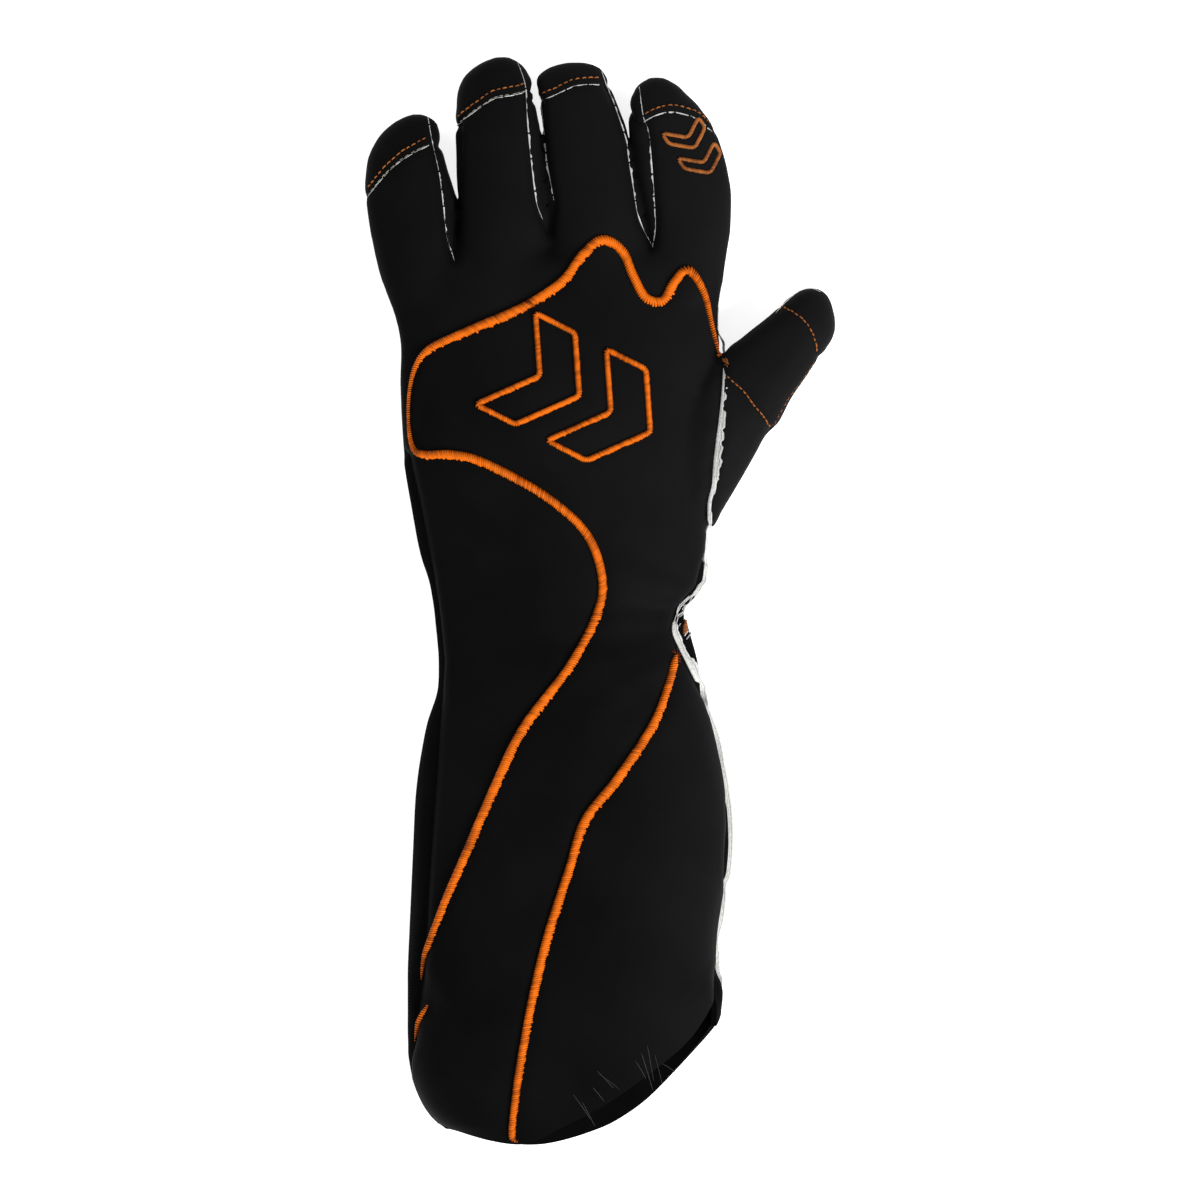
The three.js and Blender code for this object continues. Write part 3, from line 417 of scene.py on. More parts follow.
def threadMaterial(name, low, high, roughness):
    # spun thread whose colour changes a little from one strand to the next; its tone attribute also carries
    # painted light and shade
    look = threadLook
    material, tree, surface, place = newMaterial(name)
    toneAndShade = addNode(tree, "ShaderNodeAttribute", {"attribute_name": "toneAndShade"})
    wear = addNode(tree, "ShaderNodeTexNoise", {},
                   {"Vector": place, "Scale": 1 / (look["wornPatch"] * mm), "Detail": 3.0})
    share = addNode(tree, "ShaderNodeMath", {"operation": "MULTIPLY_ADD"},
                    {0: toneAndShade.outputs["Fac"], 1: look["strandShare"], 2: wear.outputs["Fac"]})
    soft = addNode(tree, "ShaderNodeMapRange", {},
                   {"Value": share.outputs["Value"], "From Min": look["range"][0],
                    "From Max": look["range"][1]})
    colour = addNode(tree, "ShaderNodeMix", {"data_type": "RGBA"},
                     {0: soft.outputs["Result"], 6: hexColour(low), 7: hexColour(high)})
    fibres = addNode(tree, "ShaderNodeTexNoise", {},
                     {"Vector": place, "Scale": 1 / (look["fibre"] * mm), "Detail": 2.0})
    bump = addNode(tree, "ShaderNodeBump", {},
                   {"Strength": 0.5, "Distance": look["fibreDepth"] * mm, "Height": fibres.outputs["Fac"]})
    plug(tree, surface, {"Base Color": colour.outputs[2], "Roughness": roughness,
                         "Specular IOR Level": look["specular"], "Normal": bump.outputs["Normal"]})
    return material


rawEdgeLook = {"colour": "#e2e2df", "shadow": "#5a5a58", "roughness": 0.95, "specular": 0.1,
               "fibre": 0.7, "fibreDepth": 0.3}


def rawEdgeMaterial():
    # cut edge of undyed foam-backed tricot: dry, fibrous and off-white, with painted shade where the tone
    # attribute is low: in a strip's groove, at its outer edge and underneath
    look = rawEdgeLook
    material, tree, surface, place = newMaterial("undyed_tricot_cut_edge")
    shadeTone = addNode(tree, "ShaderNodeAttribute", {"attribute_name": "toneAndShade"})
    fibres = addNode(tree, "ShaderNodeTexNoise", {},
                     {"Vector": place, "Scale": 1 / (look["fibre"] * mm), "Detail": 4.0, "Roughness": 0.7})
    share = addNode(tree, "ShaderNodeMapRange", {},
                    {"Value": fibres.outputs["Fac"], "From Min": 0.3, "From Max": 0.6, "To Min": 0.6})
    both = addNode(tree, "ShaderNodeMath", {"operation": "MULTIPLY"},
                   {0: shadeTone.outputs["Fac"], 1: share.outputs["Result"]})
    # the shadow colour is painted shade, mixed in where the tone attribute is low
    colour = addNode(tree, "ShaderNodeMix", {"data_type": "RGBA"},
                     {0: both.outputs["Value"], 6: hexColour(look["shadow"]), 7: hexColour(look["colour"])})
    bump = addNode(tree, "ShaderNodeBump", {},
                   {"Strength": 0.8, "Distance": look["fibreDepth"] * mm, "Height": fibres.outputs["Fac"]})
    plug(tree, surface, {"Base Color": colour.outputs[2], "Roughness": look["roughness"],
                         "Specular IOR Level": look["specular"], "Normal": bump.outputs["Normal"]})
    return material


shellCloth = shellMaterial()
palmCloth = palmMaterial()
rawEdge = rawEdgeMaterial()
orangeSatin = threadMaterial("rayon_satin_thread_orange", "#5c2001", "#e66e0c", 0.45)
orangeCore = threadMaterial("rayon_underlay_orange", "#521f02", "#7c3202", 0.7)
stitchOrange = threadMaterial("bonded_polyester_thread_orange", "#5c3319", "#a9642f", 0.6)
stitchWhite = threadMaterial("bonded_polyester_thread_white", "#5b5751", "#a09b93", 0.65)
lint = threadMaterial("cotton_lint_grey", "#343434", "#555555", 0.9)
print("scene: materials are made")


# The skin of the whole glove
def bodyTable():
    rows = [(a * glove["gauntletLength"], l * glove["gauntletWidth"], r * glove["gauntletWidth"],
             t * glove["gauntletThickness"]) for a, l, r, t in gauntletRows]
    rows += [(a * glove["handLength"], l * glove["palmWidth"], r * glove["palmWidth"],
              t * glove["palmThickness"]) for a, l, r, t in palmRows]
    return np.array(rows)


bodyRows = bodyTable()


def bodyAt(column, y):
    return curveThrough(bodyRows[:, 0], bodyRows[:, column], y)


def skinOver(rings):
    # faces over a stack of equal rings, with a fan over each end
    count, corners = rings.shape[:2]
    points = [tuple(p) for p in rings.reshape(-1, 3)]
    faces = []
    for r in range(count - 1):
        for c in range(corners):
            n = (c + 1) % corners
            faces.append((r * corners + c, r * corners + n, (r + 1) * corners + n, (r + 1) * corners + c))
    for r in (0, count - 1):
        points.append(tuple(rings[r].mean(axis=0)))
        for c in range(corners):
            n = (c + 1) % corners
            ends = (r * corners + n, r * corners + c) if r == 0 else (r * corners + c, r * corners + n)
            faces.append((*ends, len(points) - 1))
    return points, faces


def bodyRings():
    ys = np.arange(bodyRows[0, 0], bodyRows[-1, 0] + 0.1, glove["sectionStep"])
    left, right, top = (bodyAt(column, ys)[:, None] for column in (1, 2, 3))
    angle = np.linspace(0, math.tau, glove["sectionCorners"], endpoint=False)[None, :]
    above = np.sin(angle) >= 0
    power = np.where(above, glove["topRoundness"], glove["bottomRoundness"])
    seam = top * glove["seamShare"]
    x = (left + right) / 2 + (right - left) / 2 * superPower(np.cos(angle), power)
    z = seam + np.where(above, top - seam, seam + glove["floorSink"]) * superPower(np.sin(angle), power)
    return np.dstack([x, np.broadcast_to(ys[:, None], x.shape), z])


def gapEase(number, ys):
    # where a gap's middle is, and how much each side is drawn back
    table = np.array(fingerGaps[number])
    return np.interp(ys, table[:, 0], table[:, 1]), np.interp(ys, table[:, 0], table[:, 2], 0, 0)


def closeGaps(points):
    for number in range(len(fingerGaps)):
        middle, ease = gapEase(number, points[:, 1])
        aside = points[:, 0] - middle
        share = smoothStep(np.abs(aside), 0.1, 0.9) * (1 - smoothStep(np.abs(aside), 3, 12))
        points[:, 0] -= np.sign(aside) * ease * share


def digitRings(name):
    onThumb = name == "thumb"
    rows = np.array(digits[name])
    thick = glove["thumbThickness" if onThumb else "fingerThickness"]
    heights = np.array(thumbHeights if onThumb else fingerHeights)
    tip = rows[-1, 0]
    rounding = tipRounding["thumb" if onThumb else "finger"]
    start = tip - rounding
    sweep = np.linspace(0, math.pi / 2, 17)
    at = np.concatenate([np.arange(rows[0, 0], start, glove["sectionStep"]),
                         start + rounding * np.sin(sweep)])
    closing = np.sqrt(np.clip(1 - np.clip((at - start) / rounding, 0, 1) ** 2, 0, 1))[:, None]
    left, right = (curveThrough(rows[:, 0], rows[:, k], at)[:, None] for k in (1, 2))
    if not onThumb:
        number = list(digits).index(name)
        left = left + (gapEase(number - 1, at)[1][:, None] if number > 0 else 0)
        right = right - (gapEase(number, at)[1][:, None] if number < len(fingerGaps) else 0)
    share = (at - rows[0, 0]) / (tip - rows[0, 0])
    top, lift = (curveThrough(heights[:, 0], heights[:, k] * thick, share)[:, None] for k in (1, 2))
    middle = lift + (top - lift) * (glove["seamShare"] + 0.05)
    angle = np.linspace(0, math.tau, glove["digitCorners"], endpoint=False)[None, :]
    rise = superPower(np.sin(angle), glove["fingerRoundness"])
    across = (left + right) / 2 + (right - left) / 2 * superPower(np.cos(angle), glove["fingerRoundness"])
    reach = np.where(rise >= 0, top - middle, middle - lift + glove["floorSink"])
    z = middle + reach * np.maximum(closing, 0.06) * rise
    along = np.broadcast_to(at[:, None], z.shape)
    if onThumb:
        return np.dstack([along * thumbAxis[0] + across * thumbSide[0],
                          along * thumbAxis[1] + across * thumbSide[1], z])
    return np.dstack([across, along, z])


def relax(points, edges, times, share=0.5, weight=1.0):
    # draws every point towards the middle of its neighbours
    count = np.maximum(np.bincount(edges.ravel(), minlength=len(points)), 1)
    for _ in range(times):
        total = np.empty_like(points)
        for k in range(3):
            total[:, k] = np.bincount(edges[:, 0], points[edges[:, 1], k], len(points))
            total[:, k] += np.bincount(edges[:, 1], points[edges[:, 0], k], len(points))
        points = points + share * weight * (total / count[:, None] - points)
    return points


def foldHeight(points):
    total = np.zeros(len(points))
    for x, y, reach, slim, turn, height in softFolds:
        c, s = math.cos(math.radians(turn)), math.sin(math.radians(turn))
        dx, dy = points[:, 0] - x, points[:, 1] - y
        along = (dx * c + dy * s) / reach
        across = (dy * c - dx * s) / slim
        total += height * np.exp(-along ** 2 - across ** 2)
    return total


def looseness(points):
    x, y = points[:, 0], points[:, 1]
    total = np.zeros(len(points))
    for height, xWave, yWave, start in swells:
        total += height * np.sin(x / xWave + y / yWave + start)
    return total


def wholeSkin():
    points = []
    faces = []
    for rings in [bodyRings(), *[digitRings(name) for name in digits]]:
        some, over = skinOver(rings)
        faces += [tuple(i + len(points) for i in face) for face in over]
        points += some
    skin = newObject("skin", points, faces)
    bm = bmesh.new()
    bm.from_mesh(skin.data)
    bmesh.ops.recalc_face_normals(bm, faces=bm.faces)
    bm.to_mesh(skin.data)
    bm.free()
    onlySelect(skin)
    skin.data.remesh_voxel_size = glove["voxel"]
    bpy.ops.object.voxel_remesh()
    mesh = skin.data
    edges = readAll(mesh.edges, "vertices", 2, np.int32)
    points = readAll(mesh.vertices, "co")
    for _ in range(glove["smoothing"]):
        points = relax(points, edges, 1, 0.5)
        points = relax(points, edges, 1, -0.52)
    closeGaps(points)
    # the fingers' roots run softly into the hand, and so does the thumb's
    low, lowEnd, high, highEnd = glove["roots"]
    roots = (smoothStep(points[:, 1], low, lowEnd) * (1 - smoothStep(points[:, 1], high, highEnd)))[:, None]
    points = relax(points, edges, glove["rootSmoothing"], 0.5, roots)
    upward = smoothStep(readAll(mesh.vertex_normals, "vector")[:, 2], 0.1, 0.7)
    onGauntlet = 1 - smoothStep(points[:, 1], 60, 110) * 0.75
    points[:, 2] += upward * (foldHeight(points) + 0.7 * looseness(points) * onGauntlet)
    points[:, 2] = np.maximum(points[:, 2], 0)
    setPoints(mesh, points)
    return skin


skin = wholeSkin()
print("scene: the skin has", len(skin.data.vertices), "points")


# Cutting the skin into the pieces that are sewn together
def lineAt(line, places, along=1):
    # the other coordinate of a line seen from above, where it passes a place
    line = np.asarray(line, float)
    order = np.argsort(line[:, along])
    return np.interp(places, line[order, along], line[order, 1 - along])


def seamHeight(points):
    y = points[:, 1]
    top = np.where(y > bodyRows[-4, 0], glove["fingerThickness"], bodyAt(3, y))
    return top * glove["seamShare"]


def backField(points):
    # over 0 on the back panel: between its two side edges, above the side seam. The index finger's side
    # belongs to it too, and beside the palm its left edge swings out to the little finger's side.
    x, y, z = points.T
    rightEdge = np.where(y > 86, 1e3, lineAt(sideSeam, y))
    leftEdge = lineAt(littleSideSeam, y) - 60 * smoothStep(y, 52, 72)
    return np.minimum(np.minimum(rightEdge - x, x - leftEdge), z - seamHeight(points))


crotchGaps = {  # the seams on both sides of each strip between two fingers
    "little_ring": ("littleRight", "ringLeft"),
    "ring_middle": ("ringRight", "middleLeft"),
    "middle_index": ("middleRight", "indexLeft"),
}
stripHeight = 4.2  # of a strip's lower edge over the floor


def stripField(gap):
    left, right = (seamLines[side] for side in crotchGaps[gap])
    crotch = left[-1][1]

    def field(points):
        x, y, z = points.T
        between = np.minimum(x - lineAt(left, y), lineAt(right, y) - x)
        return np.minimum(np.minimum(between, y - crotch), z - stripHeight)
    return field


def gapMiddle(gap):
    left, right = (np.array(seamLines[side]) for side in crotchGaps[gap])
    ys = np.arange(left[-1, 1], 190, 4.0)
    return np.column_stack([(lineAt(left, ys) + lineAt(right, ys)) / 2, ys])


dividers = [gapMiddle(gap) for gap in crotchGaps]


def capField(number, name):
    def field(points):
        x, y = points[:, 0], points[:, 1]
        beyond = y - lineAt(capSeams[name], x, 0)
        if number > 0:
            beyond = np.minimum(beyond, x - lineAt(dividers[number - 1], y))
        if number < len(dividers):
            beyond = np.minimum(beyond, lineAt(dividers[number], y) - x)
        return beyond
    return field


def thumbField(points):
    # over 0 on the thumb, which stands out of the hand's side between two heights of y
    x, y = points[:, 0], points[:, 1]
    edge = bodyAt(2, np.clip(y, 15, 95)) + 0.5 + 0.25 * np.maximum(y - 88, 0)
    return np.minimum(np.minimum(x - edge, y - 17), 113 - y)


def beyondThumbSeam(seam):
    seam = np.array(thumbSeams[seam])
    u, v = seam @ thumbAxis, seam @ thumbSide

    def field(points):
        along, across = points[:, :2] @ thumbAxis, points[:, :2] @ thumbSide
        return along - np.interp(across, v, u)
    return field


def hemField(route):
    route = np.array(route) * (glove["gauntletWidth"], glove["gauntletLength"])
    line = lineThrough(route, 2.0)

    def field(points):
        return points[:, 1] - np.interp(points[:, 0], line[:, 0], line[:, 1])
    return field


def cornersOf(bm):
    return np.array([v.co for v in bm.verts]), np.array([v.normal for v in bm.verts])


def moveCorners(bm, points):
    for v, place in zip(bm.verts, points):
        v.co = place


def cutAlong(bm, field, where=None, snap=0.22):
    # splits faces where the field changes sign, moving points that are nearly on the line onto it
    points = cornersOf(bm)[0]
    values = field(points)
    inside = where(points) > -3 if where else np.ones(len(points), bool)
    ends = np.array([(e.verts[0].index, e.verts[1].index) for e in bm.edges])
    a, b = values[ends[:, 0]], values[ends[:, 1]]
    crossing = ((a > 0) != (b > 0)) & inside[ends[:, 0]] & inside[ends[:, 1]]
    places = np.nonzero(crossing)[0]
    share = a[places] / (a[places] - b[places])
    bm.verts.ensure_lookup_table()
    bm.edges.ensure_lookup_table()
    onLine = set()
    best = {}
    for place, t in zip(places, share):
        near, far = ends[place] if t < 0.5 else ends[place][::-1]
        t = min(t, 1 - t)
        if t < snap and t < best.get(near, (snap,))[0]:
            best[near] = (t, far)
    for near, (t, far) in best.items():
        bm.verts[near].co = points[near] + (points[far] - points[near]) * t
        onLine.add(bm.verts[near])
    toSplit = [(bm.edges[place], bm.verts[ends[place, 0]], float(t)) for place, t in zip(places, share)
               if bm.edges[place].verts[0] not in onLine and bm.edges[place].verts[1] not in onLine]
    sign = {v: values[v.index] > 0 for v in bm.verts}
    touched = set()
    for edge, start, t in toSplit:
        fresh = bmesh.utils.edge_split(edge, start, t)[1]
        onLine.add(fresh)
    for v in onLine:
        touched.update(v.link_faces)
    for face in sorted(touched, key=lambda face: face.index):  # always in the same order
        ring = list(face.verts)
        marks = [v in onLine for v in ring]
        if sum(marks) < 2:
            continue
        for i, first in enumerate(ring):
            if not marks[i]:
                continue
            second = next((j for j in range(i + 2, len(ring)) if marks[j] and (j + 1) % len(ring) != i), None)
            if second is None:
                continue
            one = {sign[v] for v in ring[i + 1:second] if v not in onLine}
            other = {sign[v] for v in ring[second + 1:] + ring[:i] if v not in onLine}
            if one and other and one != other:
                bmesh.utils.face_split(face, first, ring[second])
                break
    bm.verts.index_update()
    bm.edges.index_update()
    bm.faces.index_update()


def labelFaces(bm, fields):
    # the field value of the corner that is furthest from a field's line says which side a face is on
    points = cornersOf(bm)[0]
    values = {name: field(points) for name, field in fields.items()}
    sides = {name: np.empty(len(bm.faces), bool) for name in fields}
    for i, face in enumerate(bm.faces):
        corners = [v.index for v in face.verts]
        for name, value in values.items():
            some = value[corners]
            sides[name][i] = some[np.argmax(np.abs(some))] > 0
    return sides


def cutPieces(skin):
    bm = bmesh.new()
    bm.from_mesh(skin.data)
    fields = {"thumb": thumbField, "back": backField, "backHem": hemField(backHem),
              "palmHem": hemField(palmHem), "thumbCap": beyondThumbSeam("cap"),
              "thumbSleeve": beyondThumbSeam("sleeve"),
              "thumbTop": lambda points: points[:, 2] - seamHeight(points)}
    for number, name in enumerate(capSeams):
        fields["cap_" + name] = capField(number, name)
    for gap in crotchGaps:
        fields["strip_" + gap] = stripField(gap)
    bm.verts.index_update()
    cutAlong(bm, fields["thumb"])
    for name in ("thumbCap", "thumbSleeve", "thumbTop"):
        cutAlong(bm, fields[name], thumbField)
    for name in fields:
        if name.startswith(("cap_", "strip_")) or name in ("back", "backHem", "palmHem"):
            cutAlong(bm, fields[name])
    sides = labelFaces(bm, fields)
    labels = np.where(sides["back"], "back_panel", "palm_panel").astype(object)
    for gap in crotchGaps:
        labels[sides["strip_" + gap]] = "side_strip_" + gap
    for name in capSeams:
        labels[sides["cap_" + name]] = "fingertip_" + name
    onThumb = sides["thumb"]
    labels[onThumb] = "thumb_underside"
    labels[onThumb & sides["thumbTop"]] = "thumb_gusset"
    labels[onThumb & sides["thumbTop"] & sides["thumbSleeve"]] = "thumb_sleeve"
    labels[onThumb & sides["thumbCap"]] = "fingertip_thumb"
    labels[(labels == "back_panel") & ~sides["backHem"]] = "cut_off"
    labels[(labels == "palm_panel") & ~sides["palmHem"]] = "cut_off"
    return bm, labels


bm, labels = cutPieces(skin)
pieceNames = [name for name in dict.fromkeys(labels) if name != "cut_off"]
print("scene: the skin is cut into", len(pieceNames), "pieces")


# Seams: how deep the cloth is drawn in where two pieces meet, and how wide, in mm
seamPull = {"strip": (0.9, 1.3), "cap": (0.28, 0.9), "thumb": (0.7, 1.1), "root": (0.6, 1.2),
            "panel": (1.0, 1.6)}


def seamKind(one, other):
    names = one + " " + other
    if "cut_off" in names:
        return None
    if "side_strip" in names:
        return "strip"
    if "fingertip" in names:
        return "cap"
    if one.startswith("thumb") and other.startswith("thumb"):
        return "thumb"
    if "thumb" in names:
        return "root"
    return "panel"


def seamPlaces(bm, labels):
    places = {kind: [] for kind in seamPull}
    for edge in bm.edges:
        if len(edge.link_faces) != 2:
            continue
        one, other = (labels[f.index] for f in edge.link_faces)
        if one != other and seamKind(one, other):
            a, b = (np.array(v.co) for v in edge.verts)
            places[seamKind(one, other)] += [a, (a + b) / 2]
    return places


def nearest(points, places, reach):
    # distance of every point to the nearest of some places, up to a reach
    tree = KDTree(len(places))
    for i, place in enumerate(places):
        tree.insert(place, i)
    tree.balance()
    low, high = np.min(places, axis=0) - reach, np.max(places, axis=0) + reach
    distance = np.full(len(points), 1e3)
    for i in np.nonzero(((points > low) & (points < high)).all(axis=1))[0]:
        distance[i] = tree.find(points[i])[2]
    return distance


def drawSeamsIn(bm, labels):
    bm.normal_update()
    points, normals = cornersOf(bm)
    move = np.zeros(len(points))
    for kind, places in seamPlaces(bm, labels).items():
        if not places:
            continue
        depth, width = seamPull[kind]
        distance = nearest(points, places, 4 * width)
        move -= depth * np.exp(-(distance / width) ** 2)
        move += 0.22 * depth * np.exp(-((distance - 3 * width) / (1.4 * width)) ** 2)
    points += normals * move[:, None]
    points[:, 2] = np.maximum(points[:, 2], 0)
    moveCorners(bm, points)


drawSeamsIn(bm, labels)
print("scene: the seams are drawn in")


# Cords that are embroidered on the back
def wristPlaces(route):
    # shares to mm: of the hand above the wrist line, of the gauntlet below it
    return [(x * glove["palmWidth" if y > 0 else "gauntletWidth"],
             y * glove["handLength" if y > 0 else "gauntletLength"]) for x, y in route]


contourRoute = [
    (0.482, 0.465), (0.464, 0.51), (0.437, 0.575), (0.39, 0.615), (0.345, 0.593), (0.31, 0.56),
    (0.255, 0.565), (0.215, 0.605), (0.18, 0.65), (0.12, 0.67), (0.06, 0.645), (-0.01, 0.593),
    (-0.14, 0.545), (-0.31, 0.503), (-0.42, 0.474), (-0.466, 0.443), (-0.486, 0.4), (-0.49, 0.345),
    (-0.478, 0.298), (-0.445, 0.282), (-0.35, 0.281), (-0.25, 0.266), (-0.07, 0.21), (0.06, 0.145),
    (0.115, 0.07), (0.105, 0.0), (0.02, -0.1), (-0.13, -0.22), (-0.22, -0.33), (-0.3, -0.44),
    (-0.38, -0.55), (-0.435, -0.64), (-0.449, -0.685),
]
hemCordRoute = [(-0.43, -0.735), (-0.455, -0.765), (-0.468, -0.8)]
gauntletCordRoute = [
    (0.347, -0.085), (0.33, -0.13), (0.28, -0.21), (0.17, -0.31), (0.065, -0.39), (0.015, -0.48),
    (-0.05, -0.6), (-0.1, -0.72), (-0.14, -0.85), (-0.163, -0.955), (-0.16, -0.98), (-0.148, -0.985),
]
# where a cord narrows, as it runs down a side or ends: x and y in mm, and the share of its width
cordWidths = {
    "contour_cord": [
        (52.0, 87.4, 0.3), (49.6, 100.0, 0.45), (46.2, 111.0, 0.8), (41.7, 115.7, 1.0), (13.0, 126.0, 1.0),
        (-33.5, 94.6, 1.0), (-45.4, 89.1, 0.8), (-50.3, 83.3, 0.5), (-52.5, 75.2, 0.3), (-52.9, 64.9, 0.25),
        (-51.6, 56.0, 0.45), (-48.0, 53.0, 0.85), (-37.8, 52.8, 1.0), (11.3, 0.0, 0.9), (-23.8, -60.0, 1.0),
        (-41.0, -100.0, 0.85), (-47.0, -116.5, 0.6), (-48.5, -124.7, 0.2),
    ],
    "hem_cord": [(-46.4, -133.8, 0.3), (-49.1, -139.2, 0.55), (-50.5, -145.6, 0.2)],
    "gauntlet_cord": [(37.5, -15.5, 0.7), (34.0, -26.0, 0.85), (18.4, -56.4, 1.0), (-15.1, -154.7, 0.9),
                      (-17.3, -178.0, 0.7), (-16, -179.3, 0.3)],
}
emblem = {"place": (4.5, 73.0), "turn": -27, "slant": 84, "height": 37.0, "width": 15.0, "point": 13.0,
          "pitch": 27.0, "count": 2}
tipEmblem = {"place": (44.3, 156.8), "turn": -58, "slant": 82, "height": 13.5, "width": 4.2, "point": 5.0,
             "pitch": 10.0, "count": 2}
cordLooks = {
    "wide": {"width": 2.5, "height": 1.5, "pitch": 0.78, "slant": 0.6, "press": (0.5, 3.2), "ragged": 0.22},
    "thin": {"width": 1.35, "height": 1.0, "pitch": 0.68, "slant": 0.3, "press": (0.35, 2.4), "ragged": 0.2},
    "patch": {"width": 2.0, "height": 0.6, "pitch": 0.55, "slant": 0.4, "press": (0, 1), "ragged": 0.3},
    "fine": {"width": 0.9, "height": 0.5, "pitch": 0.5, "slant": 0.25, "press": (0.1, 1.5), "ragged": 0.15},
}
wornSpots = [(-17.6, -157.6), (-17.2, -153.0), (-40.5, 95.2), (-12.0, 104.5), (-7.0, -33.0)]
napSide = np.array([0.5, -0.86, 0.0])  # the thread ends show on the side towards the hem and the thumb, and painted light makes that side of a cord paler
# tones of the satin threads: along the cord, from thread to thread, painted shade from side to side, a
# painted highlight on top with shade on the flanks, and worn
satinTone = {"middle": 0.38, "slow": 0.15, "thread": 0.28, "side": 0.35, "top": 0.45, "worn": 0.6,
             "wornReach": 1.3}


def chevronLine(number, size=emblem):
    turn = math.radians(size["turn"])
    rise = math.radians(size["turn"] + size["slant"])
    start = (number - (size["count"] - 1) / 2) * size["pitch"] - (size["width"] + size["point"]) / 2
    w, p = size["width"], size["point"]
    line = []
    for u, v in [(0, 0), (w, 0), (w + p, 0.5), (w, 1), (0, 1), (p, 0.5), (0, 0)]:
        along, up = start + u, (v - 0.5) * size["height"]
        line.append((size["place"][0] + along * math.cos(turn) + up * math.cos(rise),
                     size["place"][1] + along * math.sin(turn) + up * math.sin(rise)))
    return roundedCorners(line, 1.5)


def roundedCorners(line, reach):
    # straight runs with each corner cut round
    line = [np.array(p, float) for p in line]
    dense = [(line[0] + line[1]) / 2]
    runs = line[1:] + [line[1]]
    for before, corner, after in zip(line, runs, runs[1:]):
        a = corner + unit(before - corner) * reach
        b = corner + unit(after - corner) * reach
        for t in np.linspace(0, 1, 6):
            dense.append((1 - t) ** 2 * a + 2 * t * (1 - t) * corner + t * t * b)
    dense.append((line[0] + line[1]) / 2)
    return evenSteps(np.array(dense), 0.5)


cordLines = {
    "contour_cord": (lineThrough(wristPlaces(contourRoute), 0.5), "wide"),
    "gauntlet_cord": (lineThrough(wristPlaces(gauntletCordRoute), 0.5), "wide"),
    "hem_cord": (lineThrough(wristPlaces(hemCordRoute), 0.5), "wide"),
    "emblem_chevron_1": (chevronLine(0), "thin"),
    "emblem_chevron_2": (chevronLine(1), "thin"),
    "fingertip_chevron_1": (chevronLine(0, tipEmblem), "fine"),
    "fingertip_chevron_2": (chevronLine(1, tipEmblem), "fine"),
}


def pressCordsIn(bm):
    # dense stitching draws the padded cloth down beside each cord
    points, normals = cornersOf(bm)
    flat = points.copy()
    flat[:, 2] = 0
    for line, look in cordLines.values():
        depth, width = cordLooks[look]["press"]
        places = np.column_stack([line, np.zeros(len(line))])
        distance = nearest(flat, places, 3 * width) + np.where(normals[:, 2] > 0, 0, 1e3)
        points -= normals * (depth * np.exp(-(distance / width) ** 2))[:, None]
    moveCorners(bm, points)


pressCordsIn(bm)
bm.normal_update()
surface = BVHTree.FromBMesh(bm)
print("scene: the cloth is pressed in under the cords")


def extractPiece(name):
    # one sewn piece: its faces of the skin, drawn back a little from its neighbours, with its thickness
    kept = [face for face, label in zip(bm.faces, labels) if label == name]
    index = {}
    points = []
    faces = []
    for face in kept:
        ring = []
        for v in face.verts:
            if v not in index:
                index[v] = len(points)
                points.append(v.co[:])
            ring.append(index[v])
        faces.append(ring)
    piece = newObject(name + "_cloth", points, faces)
    mesh = piece.data
    ends = readAll(mesh.edges, "vertices", 2, np.int32)
    points = readAll(mesh.vertices, "co")
    uses = np.zeros(len(mesh.edges), int)
    np.add.at(uses, readAll(mesh.loops, "edge_index", 1, np.int32).ravel(), 1)
    rim = np.zeros(len(points), bool)
    rim[ends[uses == 1].ravel()] = True
    inner = np.zeros_like(points)
    count = np.zeros(len(points))
    for a, b in ((0, 1), (1, 0)):
        good = rim[ends[:, a]] & ~rim[ends[:, b]]
        np.add.at(inner, ends[good, a], points[ends[good, b]])
        np.add.at(count, ends[good, a], 1)
    some = count > 0
    away = unit(inner[some] / count[some, None] - points[some])
    points[some] += away * seamGap / 2
    setPoints(mesh, points)
    onlySelect(piece)
    wall = piece.modifiers.new("wall", "SOLIDIFY")
    wall.thickness = glove["wall"]
    wall.offset = -1
    wall.use_rim = True
    bpy.ops.object.modifier_apply(modifier="wall")
    return piece


seamGap = 0.03  # mm between two sewn pieces
palmPieces = ("palm_panel", "thumb_underside")
clothPieces = {}
for name in pieceNames:
    piece = extractPiece(name)
    onPalm = name in palmPieces
    clothPieces[name] = settle(piece, palmCloth if onPalm else shellCloth, name)
print("scene: the cloth pieces are thick:", sum(len(p.data.polygons) for p in clothPieces.values()), "faces")


# Threads
def onSkin(line, lift=0.0):
    # a line seen from above, laid on the cloth, with the cloth's direction smoothed along it
    spots = []
    normals = []
    for x, y in line:
        spot, normal = surface.ray_cast(Vector((x, y, 200)), Vector((0, 0, -1)))[:2]
        if spot is None:
            spot, normal = surface.find_nearest(Vector((x, y, 8)))[:2]
        spots.append(spot)
        normals.append(normal)
    spots, normals = np.array(spots), np.array(normals)
    for _ in range(6):
        normals[1:-1] = (normals[:-2] + normals[1:-1] * 2 + normals[2:]) / 4
        spots[1:-1, 2] = (spots[:-2, 2] + spots[1:-1, 2] * 2 + spots[2:, 2]) / 4
    normals = unit(normals)
    return spots + normals * lift, normals


def fixNormals(piece):
    fixed = bmesh.new()
    fixed.from_mesh(piece.data)
    bmesh.ops.recalc_face_normals(fixed, faces=fixed.faces)
    fixed.to_mesh(piece.data)
    fixed.free()


